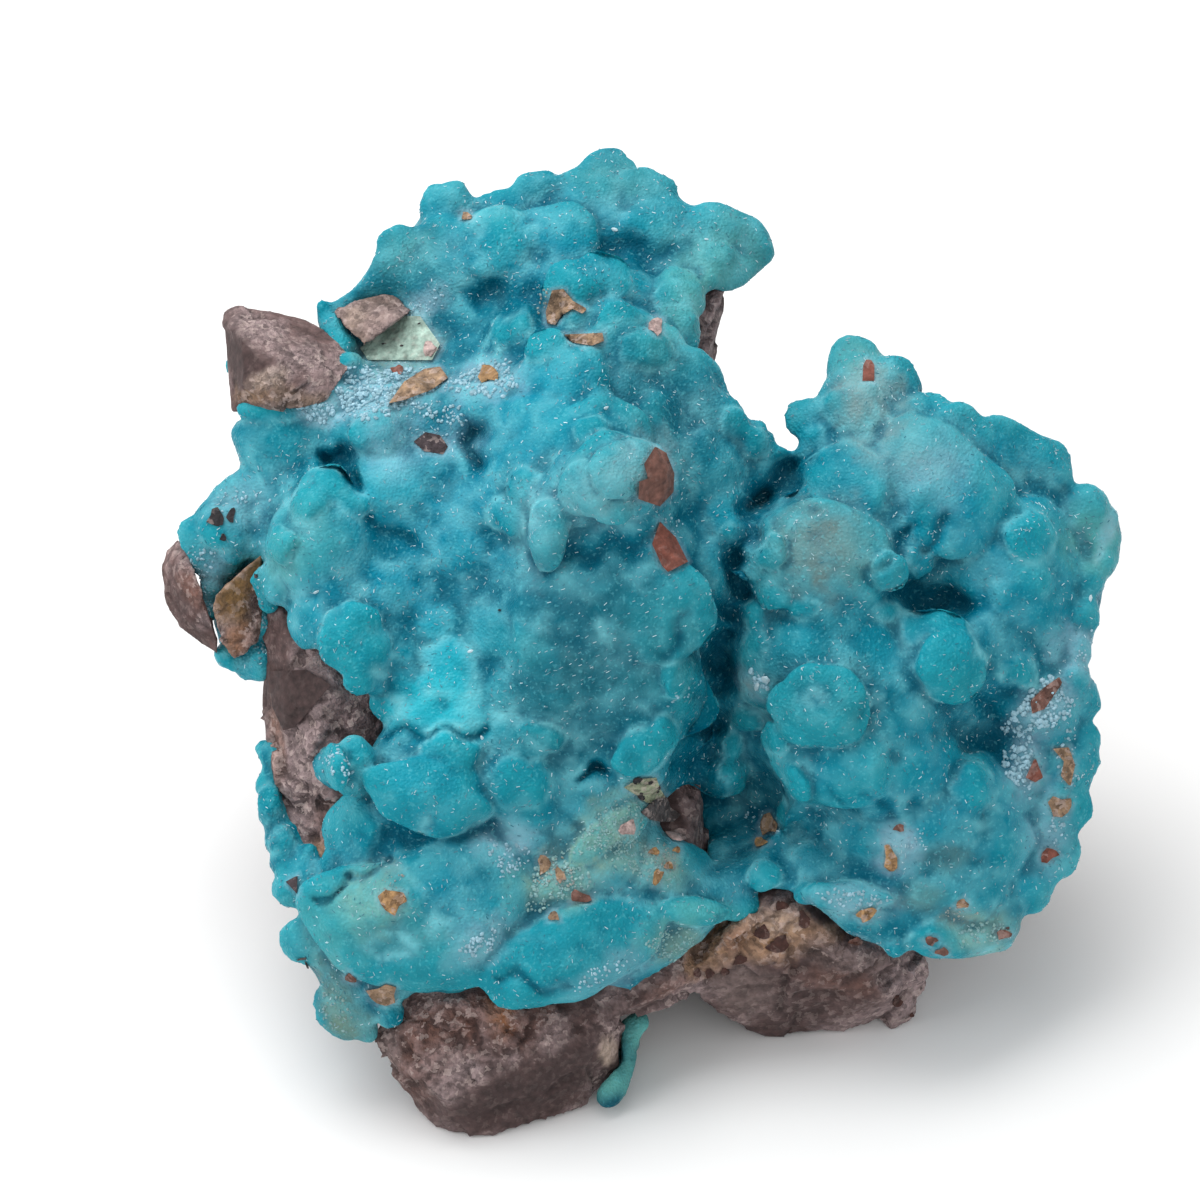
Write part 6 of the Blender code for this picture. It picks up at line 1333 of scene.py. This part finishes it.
def add_grain(u, v, size, tone):
    start = place(u, v, FROM_ABOVE)
    spot, up, _, _ = crust_tree.ray_cast(start, (place(u, v, TO_BELOW) - start).normalized())
    if spot and up.dot(sight_line) > 0.1:
        centres.append(np.array(spot) + np.array(up) * (0.5 - GRAIN_SINK) * size[2] * MM)
        ups.append(np.array(up) + dice.normal(0, 0.35, 3))
        sizes.append(size)
        tones.append(tone)


for tone, u, v, long, wide, turn, density, size in DRUSE_ZONES:
    bend = math.radians(turn)
    for _ in range(int(math.pi * long * wide * density * GRAIN_CROWDING)):
        angle = dice.uniform(0, 2 * math.pi)
        far = math.sqrt(dice.uniform(0, 1)) * (1 + 0.25 * math.sin(3 * angle + 5 * u))
        du, dv = far * long * math.cos(angle), far * wide * math.sin(angle)
        grain = size * dice.uniform(*GRAIN_SIZES) / 2
        add_grain(u + du * math.cos(bend) - dv * math.sin(bend), v + du * math.sin(bend) + dv * math.cos(bend),
                  (grain, grain * dice.uniform(*GRAIN_SLENDER), grain * dice.uniform(*GRAIN_SLENDER)),
                  np.array(tone) * dice.uniform(*GRAIN_TONES))
for u, v, length, turn in FLAKES:
    add_grain(u, v, (length / 2, length / 4, length / 8), linear(226, 236, 240))

bpy.ops.object.select_all(action="DESELECT")
bpy.ops.mesh.primitive_ico_sphere_add(subdivisions=1, radius=1.0, location=(0, 0, 0))
ups = np.array(ups) / np.linalg.norm(ups, axis=1)[:, None]
grain_placings = upright(ups, dice.normal(0, 1, (len(ups), 3)), np.array(centres), np.array(sizes))
druse = grown_on("druse_grains", bpy.context.object, grain_placings, tones)

frosty, nodes, link, shader = new_material("smithsonite_druse", 0.3)
shader.inputs["Specular IOR Level"].default_value = 0.35
where = add_node(nodes, "ShaderNodeTexCoord")
tone = add_node(nodes, "ShaderNodeVertexColor", set_layer_name="crust_colour")
milk = add_node(nodes, "ShaderNodeTexNoise", Scale=2200.0, Detail=3.0, Roughness=0.6)
link(where.outputs["Object"], milk.inputs["Vector"])
clouded = add_node(nodes, "ShaderNodeMix", set_data_type="RGBA")
clouded.inputs[7].default_value = (*linear(140, 190, 204), 1)
link(milk.outputs["Fac"], clouded.inputs[0])
link(tone.outputs["Color"], clouded.inputs[6])
link(clouded.outputs[2], shader.inputs["Base Color"])
druse.data.materials.append(frosty)
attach(druse, "root")


# Crystal glints.
# The skin of the crust is a felt of tiny crystals. Glints off the largest of them are painted as thin
# white strokes of up to half a millimetre, bedded lengthwise in the skin.

GLINTS = 12000
GLINT_LENGTH = (0.16, 0.52)
GLINT_WIDTH = 0.07
GLINT_WHITE = linear(206, 238, 246)
# The broad slope below the knob, where the strokes run the same way: u, v, half length, half width.
COMBED = (1, -5, 13, 13)
COMBED_TURN = math.radians(32)

crust.data.calc_loop_triangles()
triangles = np.empty(len(crust.data.loop_triangles) * 3, dtype=np.int32)
crust.data.loop_triangles.foreach_get("vertices", triangles)
sides = vertex_array(crust)[triangles.reshape(-1, 3)]
crosses = np.cross(sides[:, 1] - sides[:, 0], sides[:, 2] - sides[:, 0])
areas = np.linalg.norm(crosses, axis=1)
seen = (crosses / areas[:, None]) @ np.array(sight_line) > 0
thick_spots = np.array([noise.noise(Vector(p) / (7 * MM)) for p in sides[:, 0]])
chances = areas * np.where(seen, 1.0, 0.45) * np.clip(0.75 + 1.1 * thick_spots, 0.12, 2)
chosen = dice.choice(len(areas), GLINTS, p=chances / chances.sum())
shares = dice.dirichlet((1, 1, 1), GLINTS)
centres = (sides[chosen] * shares[:, :, None]).sum(1)
ups = crosses[chosen] / areas[chosen, None]
uvw = layout(centres)
u, v, long, wide = COMBED
combed = (((uvw[:, 0] - u) / long) ** 2 + ((uvw[:, 1] - v) / wide) ** 2 < 1) & seen[chosen]
bends = COMBED_TURN + dice.normal(0, 0.3, GLINTS)
up_the_slope = np.array(place(0, 1, 0) - place(0, 0, 0)) / MM
strokes = np.column_stack((np.cos(bends), np.zeros(GLINTS), np.zeros(GLINTS)))
strokes = strokes + np.sin(bends)[:, None] * up_the_slope
along = np.where(combed[:, None], strokes, dice.normal(0, 1, (GLINTS, 3)))
lengths = dice.uniform(*GLINT_LENGTH, GLINTS) / 2
widths = GLINT_WIDTH / 2 * dice.uniform(0.6, 1.4, GLINTS)
bpy.ops.object.select_all(action="DESELECT")
bpy.ops.mesh.primitive_cube_add(size=2.0, location=(0, 0, 0))
glint_placings = upright(ups, along, centres + ups * 0.02 * MM, np.column_stack((lengths, widths, widths)))
# Painted glints: white strokes, some nearer the crust colour.
glint_tones = TEAL + (GLINT_WHITE - TEAL) * dice.uniform(0.15, 1.0, (GLINTS, 1)) ** 2
glints = grown_on("crystal_glints", bpy.context.object, glint_placings, glint_tones)
glassy, nodes, link, shader = new_material("smithsonite_glints", 0.22)
shader.inputs["Specular IOR Level"].default_value = 0.6
tone = add_node(nodes, "ShaderNodeVertexColor", set_layer_name="crust_colour")
link(tone.outputs["Color"], shader.inputs["Base Color"])
glints.data.materials.append(glassy)
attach(glints, "root")
